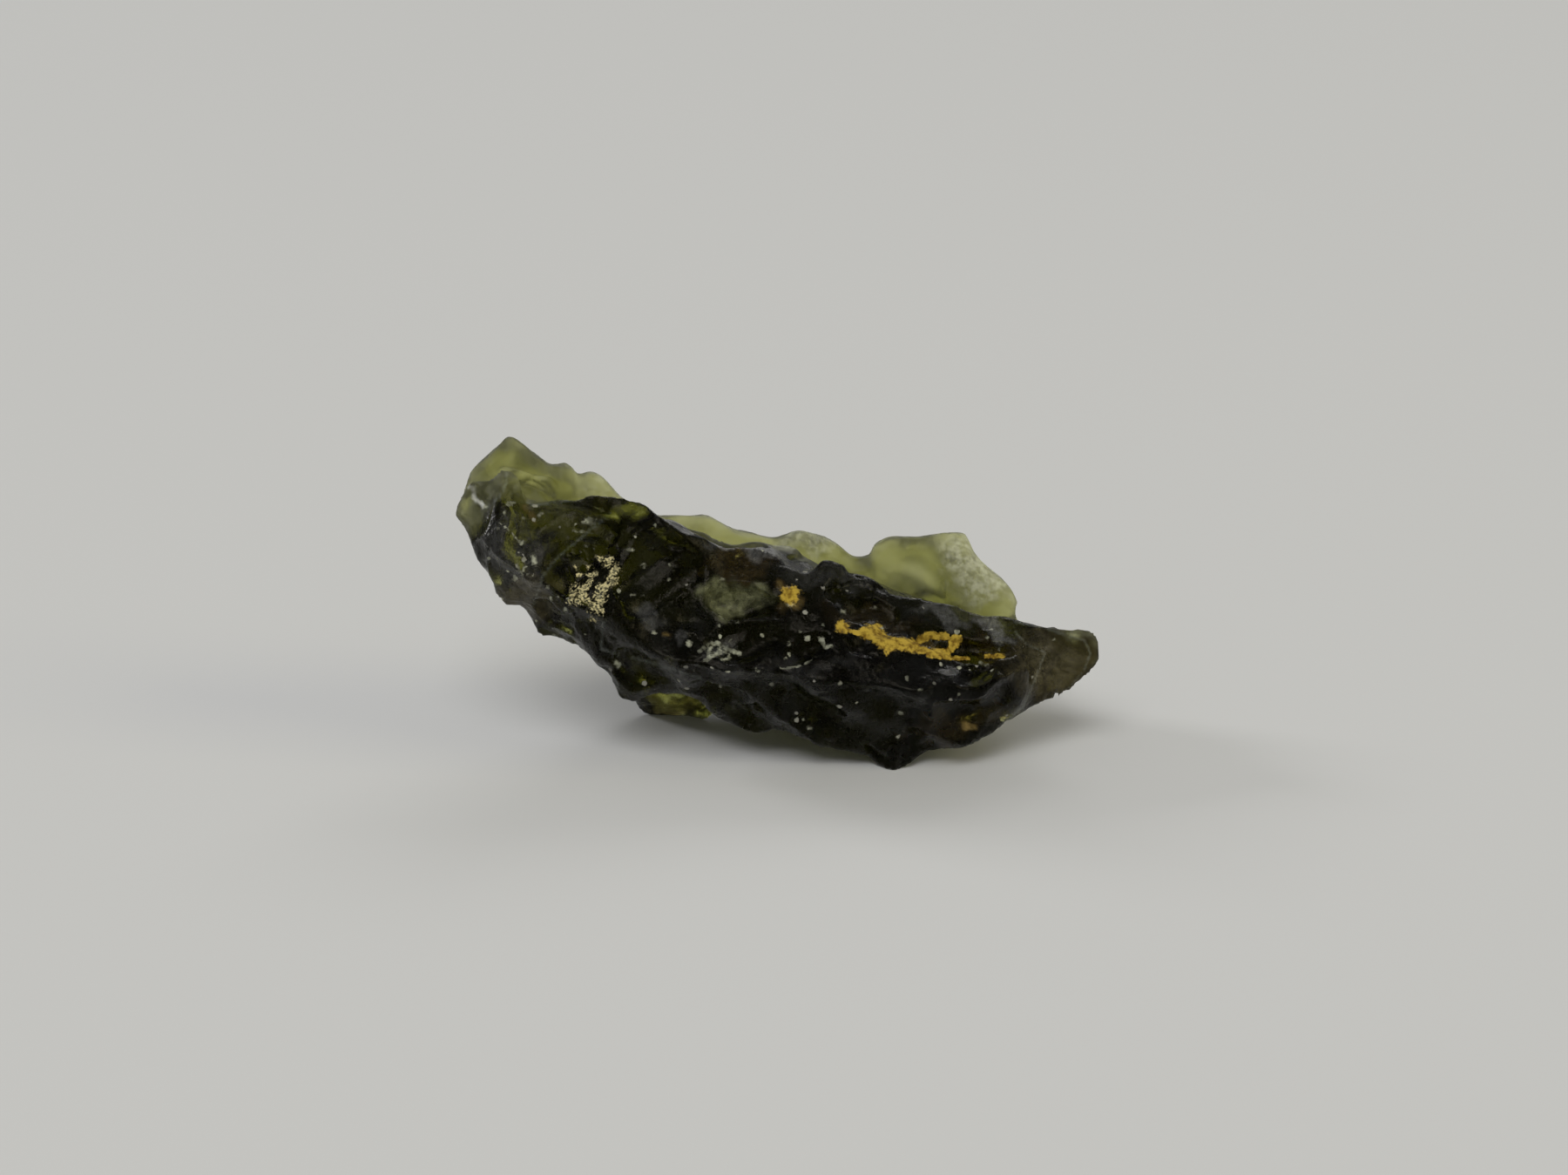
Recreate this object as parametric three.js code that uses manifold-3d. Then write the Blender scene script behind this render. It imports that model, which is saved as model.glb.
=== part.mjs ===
// A raw moldavite: one splinter of natural green glass, etched all over into pits and ridges.
//
// Millimetres, +Z up. The stone lies along X as it rests on a table: a thick, sculpted block
// faces -Y, and behind it a thin rim runs along the top, rising to a tip at -X and to a fin
// near +X. The left arm is in the air. It rests on three worn spots: the keel in front, and two
// feet behind. The origin is below the middle of its bounding box, on the table.
//
// The body is described by ridge lines that run along the stone. At every x they give the
// corners of a cross-section in Y and Z. A gentle warp bends the sections, scoops are taken out
// of the surface, and the result is meshed with one vertex per crossed cell of a cubic grid.
import * as THREE from 'three';
import Module from 'manifold-3d';

// ---------------------------------------------------------------- driving dimensions
const X_LEFT = -15.9; // left end of the stone
const X_RIGHT = 15.9; // right end
const CELL = 0.58; // edge of a grid cell
const GRID_LOW = [-16.8, -3.0, -1.2]; // the grid's low corner, clear of the stone
const GRID_HIGH = [16.8, 12.6, 16.6]; // the grid's high corner
const REST_HEIGHT = 0; // level of the table under the worn spots
const CUTTER_HEIGHT = 4; // of the block that takes off what lies under the table
const ORIGIN = [0, 4.82, 0]; // shift that brings the origin below the middle of the box

// ---------------------------------------------------------------- ridge lines: [x, y, z]
// Top edge of the front block.
const CREST = [
  [-15.9, 3.4, 12.6], [-15.1, 3.4, 13.8], [-14.3, 3.4, 14.0], [-13.6, 3.4, 14.5],
  [-13.0, 3.3, 14.2], [-12.4, 3.0, 12.9], [-10.9, 3.1, 13.0], [-10.1, 3.4, 13.0],
  [-9.2, 3.6, 13.4], [-8.4, 3.7, 13.1], [-6.9, 3.2, 13.0], [-5.9, 2.9, 12.4],
  [-5.3, 2.9, 12.1], [-4.7, 3.0, 11.7], [-4.0, 3.1, 11.4], [-3.2, 3.2, 10.9],
  [-2.6, 3.3, 10.5], [-1.1, 3.3, 10.4], [-0.2, 3.2, 10.1], [0.5, 3.1, 9.6],
  [1.5, 3.1, 9.4], [2.2, 3.2, 9.8], [3.1, 3.2, 9.6], [3.5, 3.1, 9.1], [4.8, 3.1, 8.7],
  [5.7, 3.0, 8.2], [7.2, 2.9, 8.0], [8.1, 2.8, 7.8], [8.9, 2.7, 7.5], [9.8, 2.6, 7.2],
  [11.5, 3.0, 6.9], [13.3, 3.4, 6.3], [14.8, 3.5, 6.4], [15.8, 3.4, 6.0], [16.0, 3.3, 5.4],
];
// Ridge that stands out furthest to the front.
const BELLY = [
  [-15.9, 2.6, 12.6], [-13.4, 1.2, 10.8], [-10.8, 0.5, 9.7], [-8.3, -0.2, 8.6],
  [-5.7, -0.9, 6.5], [-3.0, -1.4, 6.0], [0.2, -1.7, 5.8], [3.4, -1.7, 5.3],
  [6.2, -1.4, 5.0], [9.2, -0.8, 5.0], [11.3, -0.1, 5.1], [12.1, 0.5, 5.0],
  [12.9, 1.5, 4.7], [14.4, 2.1, 4.7], [15.4, 2.3, 4.9], [16.0, 2.8, 5.2],
];
// Lower edge of the front block, down to the worn spot at x 5.5.
const KEEL = [
  [-15.9, 2.8, 12.4], [-15.6, 2.8, 12.0], [-15.2, 2.8, 11.1], [-14.8, 2.7, 10.0],
  [-14.4, 2.6, 9.2], [-13.8, 2.5, 8.3], [-13.2, 2.5, 7.7], [-12.7, 2.4, 7.6],
  [-12.4, 2.3, 7.2], [-11.9, 2.1, 6.3], [-11.3, 2.0, 6.1], [-10.0, 1.9, 5.8],
  [-9.5, 1.7, 5.8], [-9.0, 1.5, 5.1], [-8.5, 1.3, 4.7], [-8.2, 1.2, 4.0],
  [-7.9, 1.1, 3.3], [-7.2, 1.0, 3.1], [-6.7, 1.1, 3.3], [-5.8, 1.2, 3.6],
  [-5.0, 1.5, 3.6], [-4.1, 1.5, 3.4], [-3.3, 1.5, 2.7], [-2.4, 1.3, 2.1],
  [-1.0, 1.0, 1.6], [1.1, 0.8, 1.6], [2.0, 0.6, 1.2], [2.6, 0.5, 1.0],
  [3.6, 0.3, 0.8], [4.4, 0.2, 0.4], [4.9, 0.2, 0.0], [5.4, 0.2, -0.4],
  [5.8, 0.2, -0.3], [6.2, 0.2, 0.1], [6.9, 0.3, 0.5], [8.4, 0.5, 1.0], [10.6, 0.9, 1.7],
  [11.0, 1.1, 1.9], [11.8, 1.3, 2.2], [13.1, 1.7, 2.9], [14.1, 2.1, 3.0],
  [15.0, 2.4, 3.6], [15.8, 2.7, 4.6], [16.0, 2.8, 5.1],
];
// Roof of the hollow underneath, between the keel and the feet.
const ARCH = [
  [-15.9, 3.0, 12.2], [-14.0, 4.2, 9.2], [-12.0, 4.4, 7.4], [-9.6, 4.6, 6.0],
  [-8.0, 5.2, 4.4], [-6.5, 5.6, 3.3], [-4.5, 5.4, 3.0], [-2.5, 5.0, 1.9],
  [0.0, 4.8, 1.7], [2.5, 4.8, 1.6], [5.0, 4.6, 0.9], [7.5, 4.6, 1.2],
  [10.0, 4.4, 2.1], [12.5, 4.0, 3.2], [14.5, 3.6, 4.2], [16.0, 3.0, 5.2],
];
// Lower rear edge, with the two rear feet at x -5.6 and x 4.9.
const FOOT = [
  [-15.9, 3.3, 12.2], [-14.0, 5.6, 10.0], [-12.0, 6.3, 7.9], [-9.8, 6.9, 4.6],
  [-8.6, 7.2, 2.6], [-7.6, 7.3, 1.0], [-7.0, 7.3, 0.0], [-6.4, 7.2, -0.5],
  [-5.0, 7.0, -0.6], [-4.0, 6.6, -0.1], [-2.9, 6.6, 0.5], [-1.5, 7.2, 0.8],
  [0.5, 7.9, 0.9], [2.8, 8.4, 0.5],
  [4.3, 8.7, -0.4], [5.5, 8.7, -0.4], [7.0, 8.3, 0.9], [9.2, 7.6, 2.2],
  [11.8, 6.2, 3.6], [13.6, 5.2, 4.4], [15.0, 4.4, 5.0], [16.0, 3.4, 5.3],
];
// Rear face, just above the feet.
const HEEL = [
  [-15.9, 3.8, 12.3], [-14.0, 6.8, 11.2], [-12.0, 7.6, 9.4], [-9.8, 8.2, 6.4],
  [-8.0, 8.5, 3.6], [-7.0, 8.6, 1.8], [-6.3, 8.5, 0.7], [-5.0, 8.3, 0.6],
  [-3.4, 8.3, 1.2], [-1.5, 8.8, 1.8], [0.5, 9.6, 2.0], [2.6, 10.0, 1.6],
  [4.4, 10.2, 0.9], [5.4, 10.2, 1.0], [7.0, 9.8, 2.0], [9.2, 9.0, 3.2],
  [11.8, 7.4, 4.2], [13.6, 6.0, 4.8], [15.2, 5.2, 5.3], [16.0, 3.6, 5.4],
];
// Ridge that stands out furthest to the rear.
const BACK = [
  [-15.9, 4.0, 12.4], [-14.0, 7.2, 12.6], [-12.0, 8.2, 11.2], [-9.6, 9.0, 9.6],
  [-7.5, 9.6, 7.4], [-5.4, 10.0, 5.2], [-3.0, 10.5, 4.6], [0.0, 10.9, 4.6],
  [3.0, 11.0, 4.2], [6.0, 11.2, 4.0], [8.6, 11.0, 4.6], [10.4, 10.6, 4.6],
  [12.0, 9.6, 4.5], [12.9, 8.4, 4.3], [14.2, 6.4, 4.9], [15.3, 5.4, 5.3], [16.0, 3.8, 5.4],
];
// Top of the thin rear rim: the tip at x -13.5, and the fin from x 5 to x 12.
const RIM = [
  [-15.9, 4.2, 12.6], [-15.6, 4.8, 13.2], [-15.3, 5.2, 13.9], [-14.6, 5.6, 14.6],
  [-13.9, 6.0, 15.3], [-13.5, 6.2, 15.6], [-12.8, 6.5, 15.2], [-12.0, 6.8, 14.2],
  [-11.5, 7.0, 13.8], [-10.9, 7.2, 13.7], [-10.5, 7.5, 13.3], [-10.2, 8.0, 12.9],
  [-9.7, 8.5, 12.8], [-9.1, 8.6, 12.5], [-8.6, 8.6, 12.1], [-7.9, 8.7, 11.4],
  [-6.9, 8.8, 10.8], [-5.8, 9.0, 10.4], [-4.2, 9.0, 10.3], [-3.1, 9.1, 9.8],
  [-2.0, 9.1, 9.4], [-0.5, 9.2, 9.2], [0.9, 9.4, 9.3], [1.8, 9.5, 9.1],
  [2.9, 9.5, 8.5], [3.9, 9.5, 8.0], [4.6, 9.6, 8.1], [4.9, 9.8, 8.5],
  [5.4, 9.8, 8.8], [6.1, 9.9, 9.0], [7.0, 10.0, 9.1], [8.8, 10.0, 9.1],
  [9.5, 10.0, 8.9], [10.1, 10.0, 7.9], [11.0, 10.0, 7.1], [12.0, 9.9, 6.1],
  [12.4, 9.6, 5.3], [12.8, 8.2, 4.6], [14.2, 5.4, 5.3], [16.0, 3.6, 5.5],
];
// Top between the crest and the rim: a low second ridge up to x 2, and a hollow beyond.
const HOLLOW = [
  [-15.9, 3.9, 12.6], [-14.4, 4.6, 13.3], [-13.0, 4.9, 13.2], [-11.0, 5.2, 12.3],
  [-9.0, 6.0, 11.7], [-7.0, 6.2, 11.2], [-5.1, 6.0, 10.8], [-4.0, 6.0, 10.5], [-3.3, 6.0, 10.3],
  [-2.3, 6.0, 9.9], [-1.0, 6.0, 9.8], [-0.1, 6.0, 9.5], [0.8, 6.0, 9.3], [1.5, 6.1, 8.9],
  [2.6, 6.6, 8.0], [5.0, 7.2, 6.8], [7.0, 7.4, 6.2],
  [9.0, 7.2, 5.7], [11.0, 7.0, 5.3], [12.5, 6.2, 5.4], [14.0, 4.6, 5.9], [16.0, 3.5, 5.5],
];
// Foot of the rim's front face, at the bottom of the hollow that makes the rim a thin sheet.
const VALLEY = [
  [-15.9, 4.1, 12.6], [-14.4, 4.9, 13.2], [-13.0, 5.7, 13.0], [-11.0, 6.3, 11.8],
  [-9.0, 7.5, 10.6], [-7.0, 7.8, 9.0], [-5.0, 7.9, 8.4], [-3.0, 8.0, 7.8], [-1.0, 8.1, 7.2],
  [1.0, 8.3, 7.0], [2.6, 8.4, 6.6], [5.0, 8.7, 5.7], [7.0, 8.9, 5.3], [9.0, 8.9, 4.9],
  [11.0, 8.8, 4.7], [12.0, 8.4, 4.8], [12.8, 7.2, 5.0], [14.2, 5.0, 5.5], [16.0, 3.5, 5.5],
];
// Thickness of the rim: [x, thickness].
const RIM_THICKNESS = [
  [-15.9, 0.2], [-14.6, 1.1], [-12.0, 1.3], [-9.6, 1.4], [-6.0, 1.2],
  [0.0, 1.1], [4.0, 1.15], [6.0, 1.1], [9.6, 1.0], [12.0, 1.0], [12.9, 0.9], [16.0, 0.2],
];
// The rim's three corners, from its rear edge to its front, in thicknesses: [back, down].
const RIM_CORNERS = [[0.30, 0.12], [-0.35, 0], [-0.75, 0.45]];

// ---------------------------------------------------------------- relief
// Gentle bends of the sections: sine waves with an amplitude in mm along X, Y and Z, a wave
// vector in radians per mm, and a phase.
const BODY_WAVES = [
  { size: [0.00, 0.24, 0.00], wave: [0.55, 0.30, 0.80], phase: 0.4 },
  { size: [0.00, 0.20, 0.02], wave: [-0.90, 0.70, 0.50], phase: 2.1 },
  { size: [0.00, 0.13, 0.02], wave: [1.60, -0.60, 1.10], phase: 4.0 },
  { size: [0.00, 0.09, 0.03], wave: [-1.10, 1.30, -1.90], phase: 1.3 },
  { size: [0.00, 0.06, 0.03], wave: [2.60, 1.50, -1.20], phase: 5.2 },
];
// Shorter waves bend the scoops, so that no two have the same outline.
const SCOOP_WAVES = [
  { size: [0.22, 0.05, 0.10], wave: [0.90, 1.20, -1.40], phase: 0.9 },
  { size: [-0.12, 0.08, 0.20], wave: [1.70, -1.10, 1.30], phase: 3.7 },
  { size: [0.09, -0.05, 0.08], wave: [-2.60, 2.10, 1.90], phase: 5.6 },
];
// Scoops placed by hand, with crisp ridges left between them. Each is reached along a straight
// line from one side, at two coordinates, and has a half length, a half width and a depth. It is
// turned about the surface's normal by an angle in degrees, where 0 lies along the stone.
const TILT = THREE.MathUtils.degToRad(20);
const VIEW_OFF = 16; // how far off the line from the front starts
const SIDE_REACH = 36; // how far the line from one side is followed
const SIDES = {
  front: { // at x, and at the height that is seen from TILT above
    start: (x, v) => [
      x,
      v * Math.sin(TILT) - VIEW_OFF * Math.cos(TILT),
      v * Math.cos(TILT) + VIEW_OFF * Math.sin(TILT),
    ],
    way: [0, Math.cos(TILT), -Math.sin(TILT)],
  },
  rear: { start: (x, z) => [x, 15, z], way: [0, -1, 0] }, // at x and z
  top: { start: (x, y) => [x, y, 18], way: [0, 0, -1] }, // at x and y
  under: { start: (x, y) => [x, y, -4], way: [0, 0, 1] }, // at x and y
};
const SCOOPS = [
  // front of the left arm
  { side: 'front', at: [-14.8, 12.9], half: [0.7, 1.3], depth: 0.30, turn: 8 },
  { side: 'front', at: [-12.6, 11.3], half: [1.4, 2.7], depth: 0.55, turn: 8 },
  { side: 'front', at: [-10.4, 12.4], half: [2.0, 1.0], depth: 0.40, turn: -4 },
  { side: 'front', at: [-9.7, 9.3], half: [1.5, 2.3], depth: 0.60, turn: 16 },
  { side: 'front', at: [-10.9, 7.4], half: [1.4, 0.8], depth: 0.30, turn: -20 },
  // middle of the front
  { side: 'front', at: [-6.5, 10.1], half: [2.3, 2.2], depth: 0.65, turn: -30 },
  { side: 'front', at: [-6.4, 5.0], half: [2.0, 1.2], depth: 0.45, turn: 0 },
  { side: 'front', at: [-1.9, 8.5], half: [2.1, 0.95], depth: 0.85, turn: -12 },
  { side: 'front', at: [-1.3, 6.5], half: [3.3, 1.0], depth: 0.40, turn: -5 },
  { side: 'front', at: [-2.8, 3.7], half: [2.7, 1.1], depth: 0.45, turn: -10 },
  { side: 'front', at: [2.1, 2.8], half: [1.9, 1.3], depth: 0.50, turn: -38 },
  { side: 'front', at: [3.5, 8.2], half: [1.7, 0.9], depth: 0.40, turn: -14 },
  // right end of the front
  { side: 'front', at: [7.6, 6.6], half: [3.5, 0.7], depth: 0.50, turn: -8 },
  { side: 'front', at: [9.4, 4.9], half: [2.6, 1.1], depth: 0.30, turn: 2 },
  { side: 'front', at: [8.9, 2.7], half: [3.6, 1.5], depth: 0.55, turn: 10 },
  { side: 'front', at: [13.7, 5.6], half: [1.5, 1.6], depth: 0.50, turn: 20 },
  // top: between the crest, the second ridge and the rim
  { side: 'top', at: [-1.9, 4.8], half: [2.4, 0.9], depth: 0.90, turn: 0 },
  { side: 'top', at: [-7.4, 5.6], half: [1.9, 1.2], depth: 0.60, turn: -10 },
  { side: 'top', at: [-11.8, 5.0], half: [1.6, 0.9], depth: 0.45, turn: 10 },
  { side: 'top', at: [6.9, 5.6], half: [2.6, 1.0], depth: 0.45, turn: -5 },
  { side: 'top', at: [10.9, 5.2], half: [1.5, 0.9], depth: 0.35, turn: -10 },
  // rear
  { side: 'rear', at: [-12.3, 11.6], half: [1.8, 1.5], depth: 0.45, turn: 20 },
  { side: 'rear', at: [-9.6, 8.2], half: [2.2, 1.7], depth: 0.6, turn: 35 },
  { side: 'rear', at: [-5.6, 8.0], half: [2.6, 1.8], depth: 0.7, turn: 10 },
  { side: 'rear', at: [-5.9, 3.3], half: [1.9, 1.5], depth: 0.5, turn: 25 },
  { side: 'rear', at: [-1.2, 7.0], half: [2.2, 1.6], depth: 0.6, turn: -10 },
  { side: 'rear', at: [-0.9, 3.2], half: [2.3, 1.1], depth: 0.5, turn: 5 },
  { side: 'rear', at: [3.2, 6.2], half: [2.2, 1.8], depth: 0.6, turn: 15 },
  { side: 'rear', at: [7.6, 6.6], half: [2.3, 1.4], depth: 0.35, turn: 0 },
  { side: 'rear', at: [6.4, 2.6], half: [2.6, 1.3], depth: 0.55, turn: 12 },
  { side: 'rear', at: [12.6, 4.7], half: [2.0, 1.1], depth: 0.4, turn: 10 },
  // underneath
  { side: 'under', at: [-12.6, 4.5], half: [1.9, 1.3], depth: 0.4, turn: 10 },
  { side: 'under', at: [-8.9, 4.2], half: [2.0, 1.4], depth: 0.5, turn: 0 },
  { side: 'under', at: [-4.6, 3.6], half: [2.0, 1.4], depth: 0.5, turn: 20 },
  { side: 'under', at: [0.4, 4.8], half: [2.6, 2.0], depth: 0.55, turn: 0 },
  { side: 'under', at: [9.6, 4.4], half: [2.6, 1.6], depth: 0.5, turn: -10 },
  { side: 'under', at: [13.4, 3.6], half: [1.6, 1.0], depth: 0.3, turn: -10 },
];
// Smaller pits are spread over all sides by a low-discrepancy sequence.
const PIT_COUNT = 80;
const PIT_STEPS = [0.7548776662, 0.5698402910, 0.6180339887]; // along, around, size
const PIT_HALF = [0.55, 1.25]; // smallest and largest half length
const PIT_FLATNESS = 0.72; // half width over half length
const PIT_DEPTH = 0.24; // depth over half length
const PIT_SHARE = 0.16; // a pit takes no more than this share of the thickness under it
const PIT_MARGIN = 1.0; // no pits this close to the two ends

// ---------------------------------------------------------------- small helpers
const add = (a, b, k = 1) => [a[0] + k * b[0], a[1] + k * b[1], a[2] + k * b[2]];
const dot = (a, b) => a[0] * b[0] + a[1] * b[1] + a[2] * b[2];
const cross = (a, b) => [
  a[1] * b[2] - a[2] * b[1],
  a[2] * b[0] - a[0] * b[2],
  a[0] * b[1] - a[1] * b[0],
];
const unit = (a) => {
  const size = Math.hypot(...a);
  return [a[0] / size, a[1] / size, a[2] / size];
};
const clamp = (value, low, high) => Math.min(Math.max(value, low), high);
const fraction = (value) => value - Math.floor(value);

// A smooth line through points in order of x, without overshoot (monotone cubic Hermite). It
// returns a function that gives the line's other coordinates at x.
function lineThrough(points) {
  const last = points.length - 1;
  const columns = points[0].slice(1).map((_, c) => c);
  const slopes = [];
  for (let i = 0; i < last; i += 1) {
    const run = points[i + 1][0] - points[i][0];
    slopes.push(columns.map((c) => (points[i + 1][c + 1] - points[i][c + 1]) / run));
  }
  const tangents = points.map((_, i) => columns.map((c) => {
    if (i === 0) return slopes[0][c];
    if (i === last) return slopes[last - 1][c];
    const [before, after] = [slopes[i - 1][c], slopes[i][c]];
    return before * after > 0 ? (2 * before * after) / (before + after) : 0;
  }));
  return (x) => {
    let i = 0;
    while (i < last - 1 && x >= points[i + 1][0]) i += 1;
    const run = points[i + 1][0] - points[i][0];
    const t = clamp((x - points[i][0]) / run, 0, 1);
    return columns.map((c) => (
      (1 + 2 * t) * (1 - t) ** 2 * points[i][c + 1]
      + t * (1 - t) ** 2 * run * tangents[i][c]
      + t * t * (3 - 2 * t) * points[i + 1][c + 1]
      + t * t * (t - 1) * run * tangents[i + 1][c]
    ));
  };
}

// ---------------------------------------------------------------- body
const LOWER_LINES = [CREST, BELLY, KEEL, ARCH, FOOT, HEEL, BACK].map(lineThrough);
const rimAt = lineThrough(RIM);
const rimThicknessAt = lineThrough(RIM_THICKNESS);
const TOP_LINES = [VALLEY, HOLLOW].map(lineThrough);

// Corners [y, z] of the cross-section at x, in order around it.
function sectionAt(x) {
  const [rimY, rimZ] = rimAt(x);
  const [thickness] = rimThicknessAt(x);
  const rim = RIM_CORNERS.map(([back, down]) => [rimY + back * thickness, rimZ - down * thickness]);
  return [...LOWER_LINES.map((line) => line(x)), ...rim, ...TOP_LINES.map((line) => line(x))];
}

// Signed distance from [y, z] to a polygon, negative inside (winding number not zero).
function distanceToPolygon(corners, y, z) {
  let nearest = Infinity;
  let winding = 0;
  let [lastY, lastZ] = corners[corners.length - 1];
  for (const [cornerY, cornerZ] of corners) {
    const [edgeY, edgeZ] = [lastY - cornerY, lastZ - cornerZ];
    const [fromY, fromZ] = [y - cornerY, z - cornerZ];
    const along = (fromY * edgeY + fromZ * edgeZ) / Math.max(edgeY ** 2 + edgeZ ** 2, 1e-9);
    const t = clamp(along, 0, 1);
    nearest = Math.min(nearest, (fromY - t * edgeY) ** 2 + (fromZ - t * edgeZ) ** 2);
    const left = edgeY * fromZ > edgeZ * fromY;
    if (z >= cornerZ && z < lastZ && left) winding += 1;
    if (z < cornerZ && z >= lastZ && !left) winding -= 1;
    [lastY, lastZ] = [cornerY, cornerZ];
  }
  return (winding === 0 ? 1 : -1) * Math.sqrt(nearest);
}

function bend(point, waves) {
  let bent = point;
  for (const { size, wave, phase } of waves) {
    bent = add(bent, size, Math.sin(dot(wave, point) + phase));
  }
  return bent;
}

function bodyField(point) {
  const [x, y, z] = bend(point, BODY_WAVES);
  return Math.max(distanceToPolygon(sectionAt(x), y, z), X_LEFT - x, x - X_RIGHT);
}

function slopeOf(field, point, step = 0.02) {
  return unit([0, 1, 2].map((axis) => {
    const ahead = [...point];
    const behind = [...point];
    ahead[axis] += step;
    behind[axis] -= step;
    return field(ahead) - field(behind);
  }));
}

// First point where the body's surface is crossed on the way from start, or null.
function surfaceAlong(start, way, reach) {
  const step = 0.1;
  let before = bodyField(start);
  for (let s = step; s < reach; s += step) {
    const here = bodyField(add(start, way, s));
    if (before * here < 0) return add(start, way, s - step * (here / (here - before)));
    before = here;
  }
  return null;
}

// ---------------------------------------------------------------- scoops
// A scoop is an ellipsoid that dips into the surface as deep as half its own radius there.
const DIP = 0.5;
const RIM_SHARE = Math.sqrt(1 - (1 - DIP) ** 2); // half opening over the ellipsoid's radius

function makeScoop(point, half, depth, turn) {
  const normal = slopeOf(bodyField, point);
  const flat = unit(add([1, 0, 0], normal, -normal[0]));
  const side = cross(normal, flat);
  const angle = THREE.MathUtils.degToRad(turn);
  const long = add([0, 0, 0].map((_, i) => Math.cos(angle) * flat[i]), side, Math.sin(angle));
  const radii = [half[0] / RIM_SHARE, half[1] / RIM_SHARE, depth / DIP];
  return {
    centre: add(bend(point, SCOOP_WAVES), normal, radii[2] - depth),
    axes: [long, cross(normal, long), normal],
    radii,
    reach: Math.max(...radii) + 2 * CELL,
  };
}

function scoopField(scoop, point) {
  const from = add(point, scoop.centre, -1);
  if (Math.hypot(...from) > scoop.reach) return Infinity;
  let share = 0;
  let steep = 0;
  scoop.axes.forEach((axis, i) => {
    const part = dot(from, axis) / scoop.radii[i];
    share += part ** 2;
    steep += (part / scoop.radii[i]) ** 2;
  });
  share = Math.sqrt(share);
  return (share * (share - 1)) / Math.max(Math.sqrt(steep), 1e-6);
}

function placedScoops() {
  return SCOOPS.map(({ side, at, half, depth, turn }) => {
    const { start, way } = SIDES[side];
    return makeScoop(surfaceAlong(start(...at), way, SIDE_REACH), half, depth, turn);
  });
}

function spreadPits() {
  const pits = [];
  for (let i = 0; i < PIT_COUNT; i += 1) {
    const [along, around, size] = PIT_STEPS.map((step) => fraction(0.5 + i * step));
    const x = X_LEFT + PIT_MARGIN + along * (X_RIGHT - X_LEFT - 2 * PIT_MARGIN);
    const corners = sectionAt(x);
    const [y, z] = [0, 1].map((c) => corners.reduce((sum, p) => sum + p[c], 0) / corners.length);
    const turn = around * 2 * Math.PI;
    const point = surfaceAlong([x, y, z], [0, Math.cos(turn), Math.sin(turn)], 12);
    if (!point) continue;
    const normal = slopeOf(bodyField, point);
    const under = add(point, normal, -0.1);
    const far = surfaceAlong(under, [-normal[0], -normal[1], -normal[2]], 6);
    const room = far ? Math.hypot(...add(far, point, -1)) : 6;
    const half = PIT_HALF[0] + size * (PIT_HALF[1] - PIT_HALF[0]);
    const depth = Math.min(PIT_DEPTH * half, PIT_SHARE * room);
    pits.push(makeScoop(point, [half, PIT_FLATNESS * half], depth, 360 * size));
  }
  return pits;
}

const ALL_SCOOPS = [...placedScoops(), ...spreadPits()];

function stoneField(point) {
  let value = bodyField(point);
  if (value > 2 * CELL) return value;
  const bent = bend(point, SCOOP_WAVES);
  for (const scoop of ALL_SCOOPS) value = Math.max(value, -scoopField(scoop, bent));
  return value;
}

// ---------------------------------------------------------------- meshing
const COUNTS = GRID_LOW.map((low, axis) => Math.ceil((GRID_HIGH[axis] - low) / CELL) + 1);
const STRIDES = [COUNTS[1] * COUNTS[2], COUNTS[2], 1];
const indexOf = (i, j, k) => i * STRIDES[0] + j * STRIDES[1] + k;
const cornerPoint = (i, j, k) => add(GRID_LOW, [i, j, k], CELL);
const CORNERS = [0, 1, 2, 3, 4, 5, 6, 7].map((n) => [n & 1, (n >> 1) & 1, (n >> 2) & 1]);
const EDGES = [];
CORNERS.forEach((a, n) => CORNERS.forEach((b, m) => {
  if (m > n && Math.abs(a[0] - b[0]) + Math.abs(a[1] - b[1]) + Math.abs(a[2] - b[2]) === 1) {
    EDGES.push([n, m]);
  }
}));

function sampleGrid() {
  const values = new Float64Array(COUNTS[0] * COUNTS[1] * COUNTS[2]);
  for (let i = 0; i < COUNTS[0]; i += 1) {
    for (let j = 0; j < COUNTS[1]; j += 1) {
      for (let k = 0; k < COUNTS[2]; k += 1) {
        values[indexOf(i, j, k)] = stoneField(cornerPoint(i, j, k)) || 1e-6;
      }
    }
  }
  return values;
}

// Number of connected groups among the chosen corners of a cell.
function groupsOf(chosen) {
  const group = chosen.map((is, n) => (is ? n : -1));
  let changed = true;
  while (changed) {
    changed = false;
    for (const [n, m] of EDGES) {
      if (chosen[n] && chosen[m] && group[n] !== group[m]) {
        group[n] = Math.min(group[n], group[m]);
        group[m] = group[n];
        changed = true;
      }
    }
  }
  return new Set(group.filter((id) => id >= 0)).size;
}

// Fills the cells whose surface would pinch, so that every edge has exactly two faces.
function mendPinches(values) {
  let mended = true;
  while (mended) {
    mended = false;
    for (let i = 0; i < COUNTS[0] - 1; i += 1) {
      for (let j = 0; j < COUNTS[1] - 1; j += 1) {
        for (let k = 0; k < COUNTS[2] - 1; k += 1) {
          const at = CORNERS.map(([a, b, c]) => indexOf(i + a, j + b, k + c));
          const inside = at.map((index) => values[index] < 0);
          const count = inside.filter(Boolean).length;
          if (count < 2 || count > 6) continue;
          const outside = inside.map((is) => !is);
          if (groupsOf(inside) < 2 && groupsOf(outside) < 2) continue;
          const open = at.filter((index) => values[index] > 0);
          const nearest = open.reduce((a, b) => (values[a] < values[b] ? a : b));
          values[nearest] = -1e-3;
          mended = true;
        }
      }
    }
  }
}

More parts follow.
